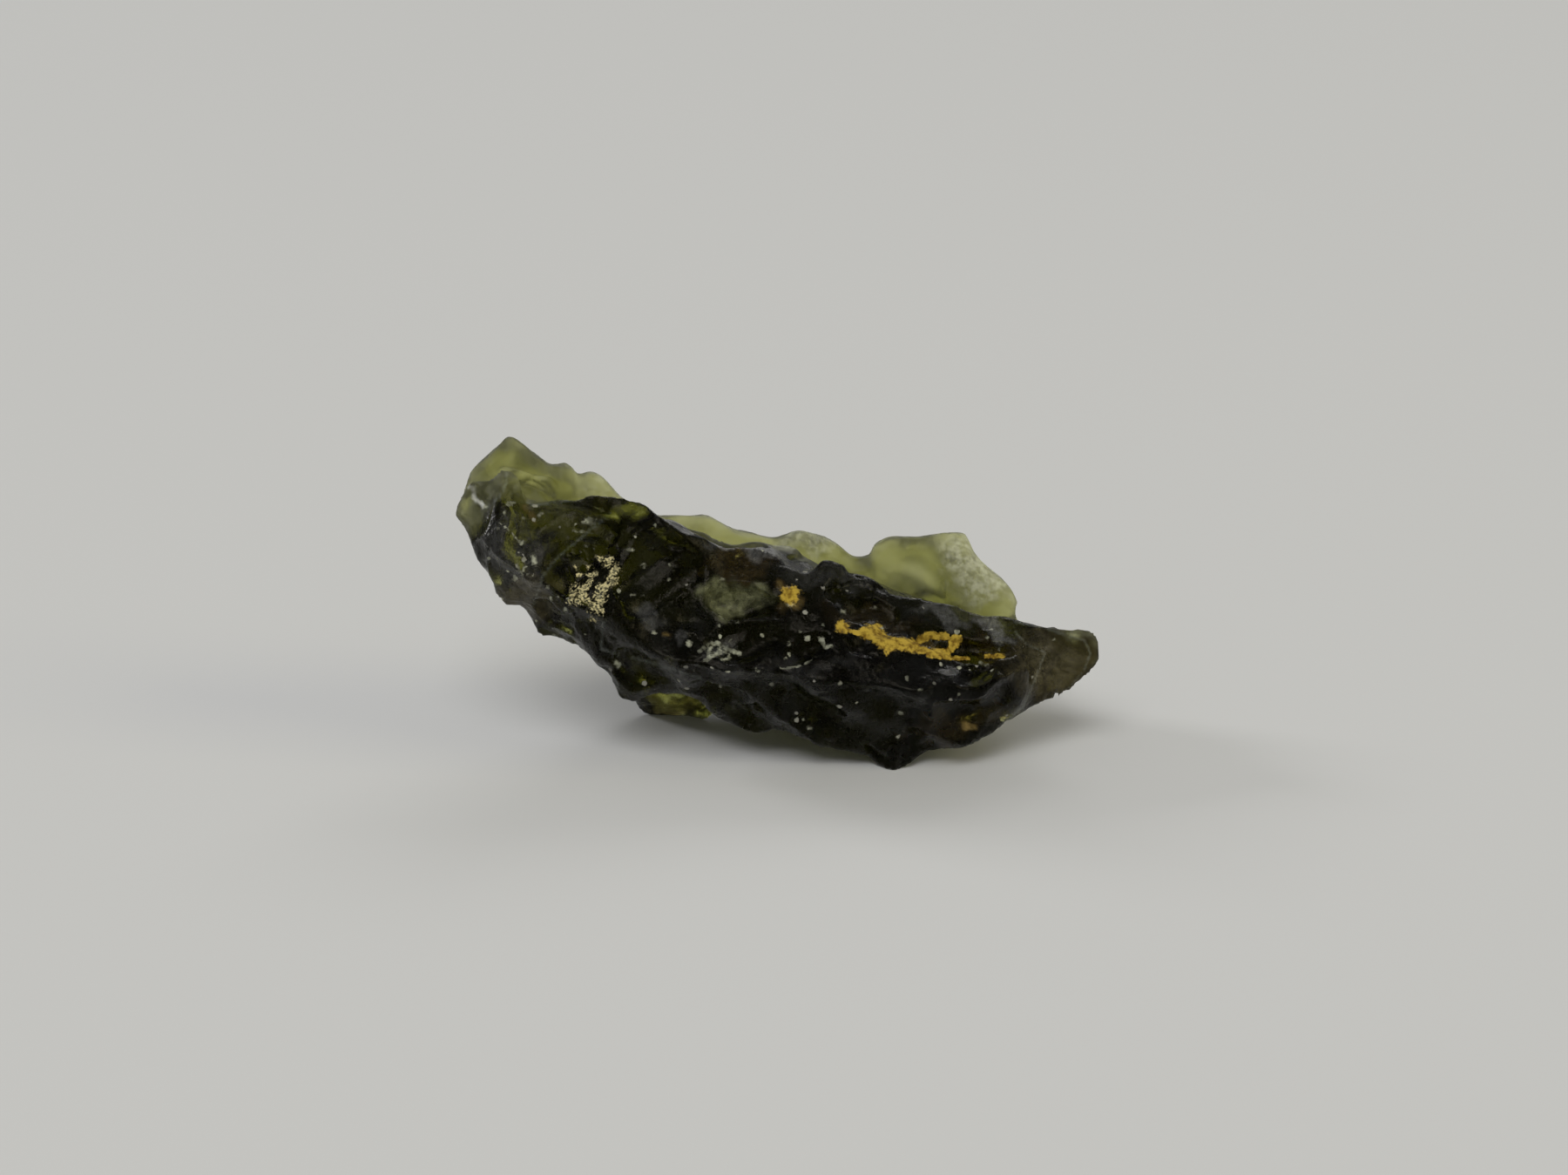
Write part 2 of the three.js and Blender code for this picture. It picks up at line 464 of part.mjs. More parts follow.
// Drops crumbs: only the samples joined to the deepest one stay inside.
function keepLargest(values) {
  let deepest = 0;
  for (let n = 0; n < values.length; n += 1) if (values[n] < values[deepest]) deepest = n;
  const kept = new Uint8Array(values.length);
  const queue = [deepest];
  kept[deepest] = 1;
  while (queue.length) {
    const here = queue.pop();
    for (const stride of STRIDES) {
      for (const next of [here - stride, here + stride]) {
        if (values[next] < 0 && !kept[next]) {
          kept[next] = 1;
          queue.push(next);
        }
      }
    }
  }
  for (let n = 0; n < values.length; n += 1) if (values[n] < 0 && !kept[n]) values[n] = 1e-3;
}

// Where the surface crosses the grid edge between two samples, with its normal there.
function crossing(a, b, valueA, valueB) {
  let [low, high, lowValue, highValue] = [a, b, valueA, valueB];
  let point = add(low, add(high, low, -1), lowValue / (lowValue - highValue));
  for (let pass = 0; pass < 3; pass += 1) {
    const value = stoneField(point);
    if (value * lowValue < 0) [high, highValue] = [point, value];
    else [low, lowValue] = [point, value];
    if (lowValue * highValue >= 0) break;
    point = add(low, add(high, low, -1), lowValue / (lowValue - highValue));
  }
  return { point, normal: slopeOf(stoneField, point) };
}

// The point that lies best on all the planes through a cell's crossings, held near their mean.
function bestPoint(crossings, low) {
  const mean = [0, 1, 2].map((c) => (
    crossings.reduce((sum, { point }) => sum + point[c], 0) / crossings.length
  ));
  const hold = 0.08;
  const matrix = new THREE.Matrix3().identity().multiplyScalar(hold);
  const right = new THREE.Vector3();
  const m = matrix.elements;
  for (const { point, normal } of crossings) {
    const offset = dot(normal, add(point, mean, -1));
    for (let r = 0; r < 3; r += 1) {
      for (let c = 0; c < 3; c += 1) m[3 * c + r] += normal[r] * normal[c];
    }
    right.add(new THREE.Vector3(...normal).multiplyScalar(offset));
  }
  right.applyMatrix3(matrix.invert());
  const margin = 0.04 * CELL;
  const [x, y, z] = add(mean, right.toArray()).map((value, axis) => (
    clamp(value, low[axis] + margin, low[axis] + CELL - margin)
  ));
  return [clamp(x, X_LEFT, X_RIGHT), y, z];
}

function meshStone() {
  const values = sampleGrid();
  keepLargest(values);
  mendPinches(values);
  const vertexOf = new Map();
  const positions = [];
  for (let i = 0; i < COUNTS[0] - 1; i += 1) {
    for (let j = 0; j < COUNTS[1] - 1; j += 1) {
      for (let k = 0; k < COUNTS[2] - 1; k += 1) {
        const at = CORNERS.map(([a, b, c]) => indexOf(i + a, j + b, k + c));
        const crossed = EDGES.filter(([n, m]) => (values[at[n]] < 0) !== (values[at[m]] < 0));
        if (!crossed.length) continue;
        const points = CORNERS.map(([a, b, c]) => cornerPoint(i + a, j + b, k + c));
        const crossings = crossed.map(([n, m]) => (
          crossing(points[n], points[m], values[at[n]], values[at[m]])
        ));
        vertexOf.set(indexOf(i, j, k), positions.length);
        positions.push(bestPoint(crossings, cornerPoint(i, j, k)));
      }
    }
  }
  const triangles = [];
  for (let i = 1; i < COUNTS[0] - 1; i += 1) {
    for (let j = 1; j < COUNTS[1] - 1; j += 1) {
      for (let k = 1; k < COUNTS[2] - 1; k += 1) {
        const here = indexOf(i, j, k);
        for (let axis = 0; axis < 3; axis += 1) {
          const inside = values[here] < 0;
          if (inside === values[here + STRIDES[axis]] < 0) continue;
          const u = STRIDES[(axis + 1) % 3];
          const v = STRIDES[(axis + 2) % 3];
          const ring = [here - u - v, here - v, here, here - u].map((n) => vertexOf.get(n));
          if (!inside) ring.reverse();
          const [a, b, c, d] = ring;
          const across = (p, q) => Math.hypot(...add(positions[p], positions[q], -1));
          if (across(a, c) < across(b, d)) triangles.push(a, b, c, a, c, d);
          else triangles.push(a, b, d, b, c, d);
        }
      }
    }
  }
  return { positions, triangles };
}

// ---------------------------------------------------------------- worn spots and the part
// Everything under the table is taken off, which leaves the three flat worn spots.
async function restOnTable({ positions, triangles }) {
  const wasm = await Module();
  wasm.setup();
  const solidOf = (vertices, indices) => new wasm.Manifold(new wasm.Mesh({
    numProp: 3,
    vertProperties: new Float32Array(vertices),
    triVerts: new Uint32Array(indices),
  }));
  const [length, width] = [0, 1].map((axis) => GRID_HIGH[axis] - GRID_LOW[axis]);
  const block = new THREE.BoxGeometry(length, width, CUTTER_HEIGHT);
  const middle = GRID_LOW.map((low, axis) => (low + GRID_HIGH[axis]) / 2);
  block.translate(middle[0], middle[1], REST_HEIGHT - CUTTER_HEIGHT / 2);
  const faces = mergeCorners(block);
  const mesh = solidOf(positions.flat(), triangles)
    .subtract(solidOf(faces.positions, faces.indices))
    .getMesh();
  const geometry = new THREE.BufferGeometry();
  geometry.setAttribute('position', new THREE.BufferAttribute(mesh.vertProperties, 3));
  geometry.setIndex(new THREE.BufferAttribute(mesh.triVerts, 1));
  return geometry;
}

// A box's corners and faces with shared vertices merged.
function mergeCorners(geometry) {
  const source = geometry.getAttribute('position');
  const known = new Map();
  const positions = [];
  const indices = Array.from(geometry.index.array, (n) => {
    const corner = [source.getX(n), source.getY(n), source.getZ(n)];
    const key = corner.map((value) => value.toFixed(4)).join();
    if (!known.has(key)) {
      known.set(key, positions.length / 3);
      positions.push(...corner);
    }
    return known.get(key);
  });
  return { positions, indices };
}

const geometry = await restOnTable(meshStone());
geometry.translate(-ORIGIN[0], -ORIGIN[1], -ORIGIN[2]);
geometry.computeVertexNormals();

const glass = new THREE.MeshStandardMaterial({
  color: 0x3b4420,
  roughness: 0.35,
  metalness: 0,
  transparent: true,
  opacity: 0.85,
});
const stone = new THREE.Mesh(geometry, glass);
stone.name = 'moldavite';

const group = new THREE.Group();
group.add(stone);
export default group;
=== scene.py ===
"""The looks of a raw moldavite: one splinter of etched green glass with clay in its grooves.

The frame is in metres. The stone's shape is worked out here in millimetres, from the same
ridge lines, waves and scoops as its CAD solid, on a finer grid and with finer pits. Then come
the marks on its surface, its one material, and the floor, lights and camera.
"""

import math

import bpy
import numpy as np
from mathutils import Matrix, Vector, noise


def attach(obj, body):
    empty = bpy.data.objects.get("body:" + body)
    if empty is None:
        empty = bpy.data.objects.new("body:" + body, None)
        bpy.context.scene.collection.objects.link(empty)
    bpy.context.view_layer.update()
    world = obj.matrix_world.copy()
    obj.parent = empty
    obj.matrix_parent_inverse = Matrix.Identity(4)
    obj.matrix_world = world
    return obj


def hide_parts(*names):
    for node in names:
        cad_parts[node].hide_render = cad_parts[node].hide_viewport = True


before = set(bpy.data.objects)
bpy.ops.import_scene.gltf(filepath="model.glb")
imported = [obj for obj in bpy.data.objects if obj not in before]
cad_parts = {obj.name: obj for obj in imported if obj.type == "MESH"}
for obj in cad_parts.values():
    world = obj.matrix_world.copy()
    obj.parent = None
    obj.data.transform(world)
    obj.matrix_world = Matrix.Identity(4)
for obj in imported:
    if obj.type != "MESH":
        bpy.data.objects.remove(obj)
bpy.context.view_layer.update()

NODE = "moldavite"
MM = 0.001

# ------------------------------------ driving dimensions, in mm
X_LEFT = -15.9  # left end of the stone
X_RIGHT = 15.9  # right end
ORIGIN = np.array([0.0, 4.82, 0.0])  # from the shape's own axes to the frame's origin
CELL = 0.15  # edge of a grid cell
GRID_LOW = np.array([-16.5, -2.7, -0.6])
GRID_HIGH = np.array([16.5, 12.3, 16.2])
BAND = (-2.4, 0.6)  # distances from the plain body within which scoops are worked out
SEED = 11  # for the etch pits

# ------------------------------------ how finely the shape is worked out
STATION_COUNT = 1601  # sections along X
STATION_SPARE = 1.0  # mm by which they go past each end
SLOPE_STEP = 0.02  # mm to each side of a point, for the field's slope there
SEARCH_STEP = 0.1  # mm, when the surface is looked for along a straight way
PIT_SEARCH = 12.0  # mm from the stone's middle within which a pit's place is looked for
MOST_ROOM = 6.0  # mm of glass under a pit that is counted at most
SCOOP_SPARE = 1.1  # how far around a scoop the field is looked at, in its longest radius
FILLED = -0.001  # mm, the field's value where a pinch is filled
SETTLE_PASSES = 2  # moves of each vertex towards the exact surface
SETTLE_MOST = 0.4  # of a cell, the most in one move
FLATTEST = 0.2  # least squared slope of the field that a move counts on
TINY = 1e-9  # keeps divisions away from zero

# ------------------------------------ ridge lines: (x, y, z)
# Top edge of the front block.
CREST = [
    (-15.9, 3.4, 12.6), (-15.1, 3.4, 13.8), (-14.3, 3.4, 14.0), (-13.6, 3.4, 14.5),
    (-13.0, 3.3, 14.2), (-12.4, 3.0, 12.9), (-10.9, 3.1, 13.0), (-10.1, 3.4, 13.0),
    (-9.2, 3.6, 13.4), (-8.4, 3.7, 13.1), (-6.9, 3.2, 13.0), (-5.9, 2.9, 12.4),
    (-5.3, 2.9, 12.1), (-4.7, 3.0, 11.7), (-4.0, 3.1, 11.4), (-3.2, 3.2, 10.9),
    (-2.6, 3.3, 10.5), (-1.1, 3.3, 10.4), (-0.2, 3.2, 10.1), (0.5, 3.1, 9.6),
    (1.5, 3.1, 9.4), (2.2, 3.2, 9.8), (3.1, 3.2, 9.6), (3.5, 3.1, 9.1), (4.8, 3.1, 8.7),
    (5.7, 3.0, 8.2), (7.2, 2.9, 8.0), (8.1, 2.8, 7.8), (8.9, 2.7, 7.5), (9.8, 2.6, 7.2),
    (11.5, 3.0, 6.9), (13.3, 3.4, 6.3), (14.8, 3.5, 6.4), (15.8, 3.4, 6.0), (16.0, 3.3, 5.4),
]
# Ridge that stands out furthest to the front.
BELLY = [
    (-15.9, 2.6, 12.6), (-13.4, 1.2, 10.8), (-10.8, 0.5, 9.7), (-8.3, -0.2, 8.6),
    (-5.7, -0.9, 6.5), (-3.0, -1.4, 6.0), (0.2, -1.7, 5.8), (3.4, -1.7, 5.3),
    (6.2, -1.4, 5.0), (9.2, -0.8, 5.0), (11.3, -0.1, 5.1), (12.1, 0.5, 5.0),
    (12.9, 1.5, 4.7), (14.4, 2.1, 4.7), (15.4, 2.3, 4.9), (16.0, 2.8, 5.2),
]
# Lower edge of the front block, down to the worn spot at x 5.5.
KEEL = [
    (-15.9, 2.8, 12.4), (-15.6, 2.8, 12.0), (-15.2, 2.8, 11.1), (-14.8, 2.7, 10.0),
    (-14.4, 2.6, 9.2), (-13.8, 2.5, 8.3), (-13.2, 2.5, 7.7), (-12.7, 2.4, 7.6),
    (-12.4, 2.3, 7.2), (-11.9, 2.1, 6.3), (-11.3, 2.0, 6.1), (-10.0, 1.9, 5.8),
    (-9.5, 1.7, 5.8), (-9.0, 1.5, 5.1), (-8.5, 1.3, 4.7), (-8.2, 1.2, 4.0),
    (-7.9, 1.1, 3.3), (-7.2, 1.0, 3.1), (-6.7, 1.1, 3.3), (-5.8, 1.2, 3.6),
    (-5.0, 1.5, 3.6), (-4.1, 1.5, 3.4), (-3.3, 1.5, 2.7), (-2.4, 1.3, 2.1),
    (-1.0, 1.0, 1.6), (1.1, 0.8, 1.6), (2.0, 0.6, 1.2), (2.6, 0.5, 1.0),
    (3.6, 0.3, 0.8), (4.4, 0.2, 0.4), (4.9, 0.2, 0.0), (5.4, 0.2, -0.4),
    (5.8, 0.2, -0.3), (6.2, 0.2, 0.1), (6.9, 0.3, 0.5), (8.4, 0.5, 1.0), (10.6, 0.9, 1.7),
    (11.0, 1.1, 1.9), (11.8, 1.3, 2.2), (13.1, 1.7, 2.9), (14.1, 2.1, 3.0),
    (15.0, 2.4, 3.6), (15.8, 2.7, 4.6), (16.0, 2.8, 5.1),
]
# Roof of the hollow underneath, between the keel and the feet.
ARCH = [
    (-15.9, 3.0, 12.2), (-14.0, 4.2, 9.2), (-12.0, 4.4, 7.4), (-9.6, 4.6, 6.0),
    (-8.0, 5.2, 4.4), (-6.5, 5.6, 3.3), (-4.5, 5.4, 3.0), (-2.5, 5.0, 1.9),
    (0.0, 4.8, 1.7), (2.5, 4.8, 1.6), (5.0, 4.6, 0.9), (7.5, 4.6, 1.2),
    (10.0, 4.4, 2.1), (12.5, 4.0, 3.2), (14.5, 3.6, 4.2), (16.0, 3.0, 5.2),
]
# Lower rear edge, with the two rear feet at x -5.6 and x 4.9.
FOOT = [
    (-15.9, 3.3, 12.2), (-14.0, 5.6, 10.0), (-12.0, 6.3, 7.9), (-9.8, 6.9, 4.6),
    (-8.6, 7.2, 2.6), (-7.6, 7.3, 1.0), (-7.0, 7.3, 0.0), (-6.4, 7.2, -0.5),
    (-5.0, 7.0, -0.6), (-4.0, 6.6, -0.1), (-2.9, 6.6, 0.5), (-1.5, 7.2, 0.8),
    (0.5, 7.9, 0.9), (2.8, 8.4, 0.5),
    (4.3, 8.7, -0.4), (5.5, 8.7, -0.4), (7.0, 8.3, 0.9), (9.2, 7.6, 2.2),
    (11.8, 6.2, 3.6), (13.6, 5.2, 4.4), (15.0, 4.4, 5.0), (16.0, 3.4, 5.3),
]
# Rear face, just above the feet.
HEEL = [
    (-15.9, 3.8, 12.3), (-14.0, 6.8, 11.2), (-12.0, 7.6, 9.4), (-9.8, 8.2, 6.4),
    (-8.0, 8.5, 3.6), (-7.0, 8.6, 1.8), (-6.3, 8.5, 0.7), (-5.0, 8.3, 0.6),
    (-3.4, 8.3, 1.2), (-1.5, 8.8, 1.8), (0.5, 9.6, 2.0), (2.6, 10.0, 1.6),
    (4.4, 10.2, 0.9), (5.4, 10.2, 1.0), (7.0, 9.8, 2.0), (9.2, 9.0, 3.2),
    (11.8, 7.4, 4.2), (13.6, 6.0, 4.8), (15.2, 5.2, 5.3), (16.0, 3.6, 5.4),
]
# Ridge that stands out furthest to the rear.
BACK = [
    (-15.9, 4.0, 12.4), (-14.0, 7.2, 12.6), (-12.0, 8.2, 11.2), (-9.6, 9.0, 9.6),
    (-7.5, 9.6, 7.4), (-5.4, 10.0, 5.2), (-3.0, 10.5, 4.6), (0.0, 10.9, 4.6),
    (3.0, 11.0, 4.2), (6.0, 11.2, 4.0), (8.6, 11.0, 4.6), (10.4, 10.6, 4.6),
    (12.0, 9.6, 4.5), (12.9, 8.4, 4.3), (14.2, 6.4, 4.9), (15.3, 5.4, 5.3), (16.0, 3.8, 5.4),
]
# Top of the thin rear rim: the tip at x -13.5, and the fin from x 5 to x 12.
RIM = [
    (-15.9, 4.2, 12.6), (-15.6, 4.8, 13.2), (-15.3, 5.2, 13.9), (-14.6, 5.6, 14.6),
    (-13.9, 6.0, 15.3), (-13.5, 6.2, 15.6), (-12.8, 6.5, 15.2), (-12.0, 6.8, 14.2),
    (-11.5, 7.0, 13.8), (-10.9, 7.2, 13.7), (-10.5, 7.5, 13.3), (-10.2, 8.0, 12.9),
    (-9.7, 8.5, 12.8), (-9.1, 8.6, 12.5), (-8.6, 8.6, 12.1), (-7.9, 8.7, 11.4),
    (-6.9, 8.8, 10.8), (-5.8, 9.0, 10.4), (-4.2, 9.0, 10.3), (-3.1, 9.1, 9.8),
    (-2.0, 9.1, 9.4), (-0.5, 9.2, 9.2), (0.9, 9.4, 9.3), (1.8, 9.5, 9.1),
    (2.9, 9.5, 8.5), (3.9, 9.5, 8.0), (4.6, 9.6, 8.1), (4.9, 9.8, 8.5),
    (5.4, 9.8, 8.8), (6.1, 9.9, 9.0), (7.0, 10.0, 9.1), (8.8, 10.0, 9.1),
    (9.5, 10.0, 8.9), (10.1, 10.0, 7.9), (11.0, 10.0, 7.1), (12.0, 9.9, 6.1),
    (12.4, 9.6, 5.3), (12.8, 8.2, 4.6), (14.2, 5.4, 5.3), (16.0, 3.6, 5.5),
]
# Top between the crest and the rim: a low second ridge up to x 2, and a hollow beyond.
HOLLOW = [
    (-15.9, 3.9, 12.6), (-14.4, 4.6, 13.3), (-13.0, 4.9, 13.2), (-11.0, 5.2, 12.3),
    (-9.0, 6.0, 11.7), (-7.0, 6.2, 11.2), (-5.1, 6.0, 10.8), (-4.0, 6.0, 10.5), (-3.3, 6.0, 10.3),
    (-2.3, 6.0, 9.9), (-1.0, 6.0, 9.8), (-0.1, 6.0, 9.5), (0.8, 6.0, 9.3), (1.5, 6.1, 8.9),
    (2.6, 6.6, 8.0), (5.0, 7.2, 6.8), (7.0, 7.4, 6.2),
    (9.0, 7.2, 5.7), (11.0, 7.0, 5.3), (12.5, 6.2, 5.4), (14.0, 4.6, 5.9), (16.0, 3.5, 5.5),
]
# Foot of the rim's front face, at the bottom of the hollow that makes the rim a thin sheet.
VALLEY = [
    (-15.9, 4.1, 12.6), (-14.4, 4.9, 13.2), (-13.0, 5.7, 13.0), (-11.0, 6.3, 11.8),
    (-9.0, 7.5, 10.6), (-7.0, 7.8, 9.0), (-5.0, 7.9, 8.4), (-3.0, 8.0, 7.8), (-1.0, 8.1, 7.2),
    (1.0, 8.3, 7.0), (2.6, 8.4, 6.6), (5.0, 8.7, 5.7), (7.0, 8.9, 5.3), (9.0, 8.9, 4.9),
    (11.0, 8.8, 4.7), (12.0, 8.4, 4.8), (12.8, 7.2, 5.0), (14.2, 5.0, 5.5), (16.0, 3.5, 5.5),
]
# Thickness of the rim: (x, thickness).
RIM_THICKNESS = [
    (-15.9, 0.2), (-14.6, 1.1), (-12.0, 1.3), (-9.6, 1.4), (-6.0, 1.2),
    (0.0, 1.1), (4.0, 1.15), (6.0, 1.1), (9.6, 1.0), (12.0, 1.0), (12.9, 0.9), (16.0, 0.2),
]
# The rim's three corners, from its rear edge to its front, in thicknesses: (back, down).
RIM_CORNERS = [(0.30, 0.12), (-0.35, 0.0), (-0.75, 0.45)]

# ------------------------------------ relief
# Sine waves that bend the sections: amplitude in mm, wave vector in radians per mm, phase.
BODY_WAVES = [
    ((0.00, 0.24, 0.00), (0.55, 0.30, 0.80), 0.4),
    ((0.00, 0.20, 0.02), (-0.90, 0.70, 0.50), 2.1),
    ((0.00, 0.13, 0.02), (1.60, -0.60, 1.10), 4.0),
    ((0.00, 0.09, 0.03), (-1.10, 1.30, -1.90), 1.3),
    ((0.00, 0.06, 0.03), (2.60, 1.50, -1.20), 5.2),
]
# Shorter waves bend the scoops.
SCOOP_WAVES = [
    ((0.22, 0.05, 0.10), (0.90, 1.20, -1.40), 0.9),
    ((-0.12, 0.08, 0.20), (1.70, -1.10, 1.30), 3.7),
    ((0.09, -0.05, 0.08), (-2.60, 2.10, 1.90), 5.6),
]
# Scoops, listed one by one: side, two coordinates there, (half length, half width), depth, turn.
# The front's are (x, height) in a plane that leans back by TILT, as the stone is looked at.
TILT = math.radians(20)
SIN_TILT = math.sin(TILT)
COS_TILT = math.cos(TILT)
VIEW_OFF = 16.0  # mm from the plane to the stone
# Where a place on each side lies in the plane that it is set from, and the way to the stone.
SIDES = {
    "front": (
        lambda x, v: (x, v * SIN_TILT - VIEW_OFF * COS_TILT, v * COS_TILT + VIEW_OFF * SIN_TILT),
        (0, COS_TILT, -SIN_TILT),
    ),
    "rear": (lambda x, z: (x, 15.0, z), (0, -1, 0)),
    "top": (lambda x, y: (x, y, 18.0), (0, 0, -1)),
    "under": (lambda x, y: (x, y, -4.0), (0, 0, 1)),
}
SIDE_REACH = 36.0  # mm from such a plane within which the stone is met
SCOOPS = [
    # front of the left arm
    ("front", (-14.8, 12.9), (0.7, 1.3), 0.30, 8),
    ("front", (-12.6, 11.3), (1.4, 2.7), 0.55, 8),
    ("front", (-10.4, 12.4), (2.0, 1.0), 0.40, -4),
    ("front", (-9.7, 9.3), (1.5, 2.3), 0.60, 16),
    ("front", (-10.9, 7.4), (1.4, 0.8), 0.30, -20),
    # middle of the front
    ("front", (-6.5, 10.1), (2.3, 2.2), 0.65, -30),
    ("front", (-6.4, 5.0), (2.0, 1.2), 0.45, 0),
    ("front", (-1.9, 8.5), (2.1, 0.95), 0.85, -12),
    ("front", (-1.3, 6.5), (3.3, 1.0), 0.40, -5),
    ("front", (-2.8, 3.7), (2.7, 1.1), 0.45, -10),
    ("front", (2.1, 2.8), (1.9, 1.3), 0.50, -38),
    ("front", (3.5, 8.2), (1.7, 0.9), 0.40, -14),
    # right end of the front
    ("front", (7.6, 6.6), (3.5, 0.7), 0.50, -8),
    ("front", (9.4, 4.9), (2.6, 1.1), 0.30, 2),
    ("front", (8.9, 2.7), (3.6, 1.5), 0.55, 10),
    ("front", (13.7, 5.6), (1.5, 1.6), 0.50, 20),
    # top: between the crest, the second ridge and the rim
    ("top", (-1.9, 4.8), (2.4, 0.9), 0.90, 0),
    ("top", (-7.4, 5.6), (1.9, 1.2), 0.60, -10),
    ("top", (-11.8, 5.0), (1.6, 0.9), 0.45, 10),
    ("top", (6.9, 5.6), (2.6, 1.0), 0.45, -5),
    ("top", (10.9, 5.2), (1.5, 0.9), 0.35, -10),
    # rear
    ("rear", (-12.3, 11.6), (1.8, 1.5), 0.45, 20),
    ("rear", (-9.6, 8.2), (2.2, 1.7), 0.6, 35),
    ("rear", (-5.6, 8.0), (2.6, 1.8), 0.7, 10),
    ("rear", (-5.9, 3.3), (1.9, 1.5), 0.5, 25),
    ("rear", (-1.2, 7.0), (2.2, 1.6), 0.6, -10),
    ("rear", (-0.9, 3.2), (2.3, 1.1), 0.5, 5),
    ("rear", (3.2, 6.2), (2.2, 1.8), 0.6, 15),
    ("rear", (7.6, 6.6), (2.3, 1.4), 0.35, 0),
    ("rear", (6.4, 2.6), (2.6, 1.3), 0.55, 12),
    ("rear", (12.6, 4.7), (2.0, 1.1), 0.4, 10),
    # underneath
    ("under", (-12.6, 4.5), (1.9, 1.3), 0.4, 10),
    ("under", (-8.9, 4.2), (2.0, 1.4), 0.5, 0),
    ("under", (-4.6, 3.6), (2.0, 1.4), 0.5, 20),
    ("under", (0.4, 4.8), (2.6, 2.0), 0.55, 0),
    ("under", (9.6, 4.4), (2.6, 1.6), 0.5, -10),
    ("under", (13.4, 3.6), (1.6, 1.0), 0.3, -10),
]
# Smaller pits are spread over all sides by a low-discrepancy sequence, as in the solid.
PIT_COUNT = 80
PIT_STEPS = np.array([0.7548776662, 0.5698402910, 0.6180339887])  # along, around, size
PIT_HALF = (0.55, 1.25)  # mm, shortest and longest half length
PIT_FLATNESS = 0.72  # half width over half length
PIT_DEPTH = 0.24  # over half length
PIT_SHARE = 0.16  # of the glass under it, the most that a pit takes
PIT_MARGIN = 1.0  # mm kept free at each end of the stone
# Etch pits and short grooves too small for the solid: how many, their half lengths, their
# width and depth over the half length.
ETCH = [
    {"count": 520, "half": (0.16, 0.42), "flatness": 0.85, "depth": 0.20},
    {"count": 90, "half": (0.50, 1.10), "flatness": 0.24, "depth": 0.085},
]
ETCH_LOWEST = 0.4  # mm above the table, below which nothing is etched
ETCH_RIM = 0.3  # share of the rim's smoothness past which nothing is etched
RIM_SMOOTH = 4.2  # mm below the rim's top where its smooth glass ends
RIM_FADE = 1.0  # mm over which it turns into etched glass
# Fine roughness that moves the vertices along their normals: (waves per mm, height in mm).
FINE = [(0.9, 0.035), (2.3, 0.022)]
FINE_LOWEST = 0.1  # mm above the table where it starts
FINE_FADE = 0.4  # mm over which it reaches its full height
FINE_ON_RIM = 0.2  # of its full height, on the smooth rim

# A scoop is an ellipsoid that dips into the surface as deep as half its own radius there.
DIP = 0.5
RIM_SHARE = math.sqrt(1 - (1 - DIP) ** 2)


# ------------------------------------ the stone's field
def line_through(points, at):
    """Monotone cubic Hermite through points in order of x: the two other coordinates at x."""
    table = np.array(points, float)
    x = table[:, 0]
    run = np.diff(x)
    i = np.clip(np.searchsorted(x, at, side="right") - 1, 0, len(x) - 2)
    t = np.clip((at - x[i]) / run[i], 0, 1)
    found = []
    for c in range(1, table.shape[1]):
        y = table[:, c]
        slope = np.diff(y) / run
        before, after = slope[:-1], slope[1:]
        same = before * after > 0
        total = np.where(same, before + after, 1.0)
        middle = np.where(same, 2 * before * after / total, 0.0)
        tangent = np.concatenate([slope[:1], middle, slope[-1:]])
        found.append(
            (1 + 2 * t) * (1 - t) ** 2 * y[i]
            + t * (1 - t) ** 2 * run[i] * tangent[i]
            + t * t * (3 - 2 * t) * y[i + 1]
            + t * t * (t - 1) * run[i] * tangent[i + 1]
        )
    return found


# The section's corners (y, z), in order around it, at closely spaced stations along X.
STATIONS = np.linspace(X_LEFT - STATION_SPARE, X_RIGHT + STATION_SPARE, STATION_COUNT)


def section_lines():
    lines = [line_through(n, STATIONS) for n in (CREST, BELLY, KEEL, ARCH, FOOT, HEEL, BACK)]
    rim_y, rim_z = line_through(RIM, STATIONS)
    thickness = line_through(RIM_THICKNESS, STATIONS)[0]
    lines += [[rim_y + back * thickness, rim_z - down * thickness] for back, down in RIM_CORNERS]
    return lines + [line_through(n, STATIONS) for n in (VALLEY, HOLLOW)]


SECTION = section_lines()


def section_distance(x, y, z):
    """Signed distance to the section's outline in the plane of constant x."""
    corners = [(np.interp(x, STATIONS, a), np.interp(x, STATIONS, b)) for a, b in SECTION]
    nearest = np.full(x.shape, np.inf)
    winding = np.zeros(x.shape, np.int8)
    last_y, last_z = corners[-1]
    for corner_y, corner_z in corners:
        edge_y, edge_z = last_y - corner_y, last_z - corner_z
        from_y, from_z = y - corner_y, z - corner_z
        size = np.maximum(edge_y**2 + edge_z**2, TINY)
        t = np.clip((from_y * edge_y + from_z * edge_z) / size, 0, 1)
        gap = (from_y - t * edge_y) ** 2 + (from_z - t * edge_z) ** 2
        nearest = np.minimum(nearest, gap)
        left = edge_y * from_z > edge_z * from_y
        winding += (z >= corner_z) & (z < last_z) & left
        winding -= (z < corner_z) & (z >= last_z) & ~left
        last_y, last_z = corner_y, corner_z
    return np.where(winding == 0, 1, -1) * np.sqrt(nearest)


def bend(points, waves):
    bent = points.copy()
    for size, wave, phase in waves:
        bent += np.sin(points @ np.array(wave) + phase)[:, None] * np.array(size)
    return bent


def body_field(points):
    x, y, z = bend(points, BODY_WAVES).T
    return np.maximum(section_distance(x, y, z), np.maximum(X_LEFT - x, x - X_RIGHT))


def unit(vectors):
    return vectors / np.maximum(np.linalg.norm(vectors, axis=-1, keepdims=True), TINY)


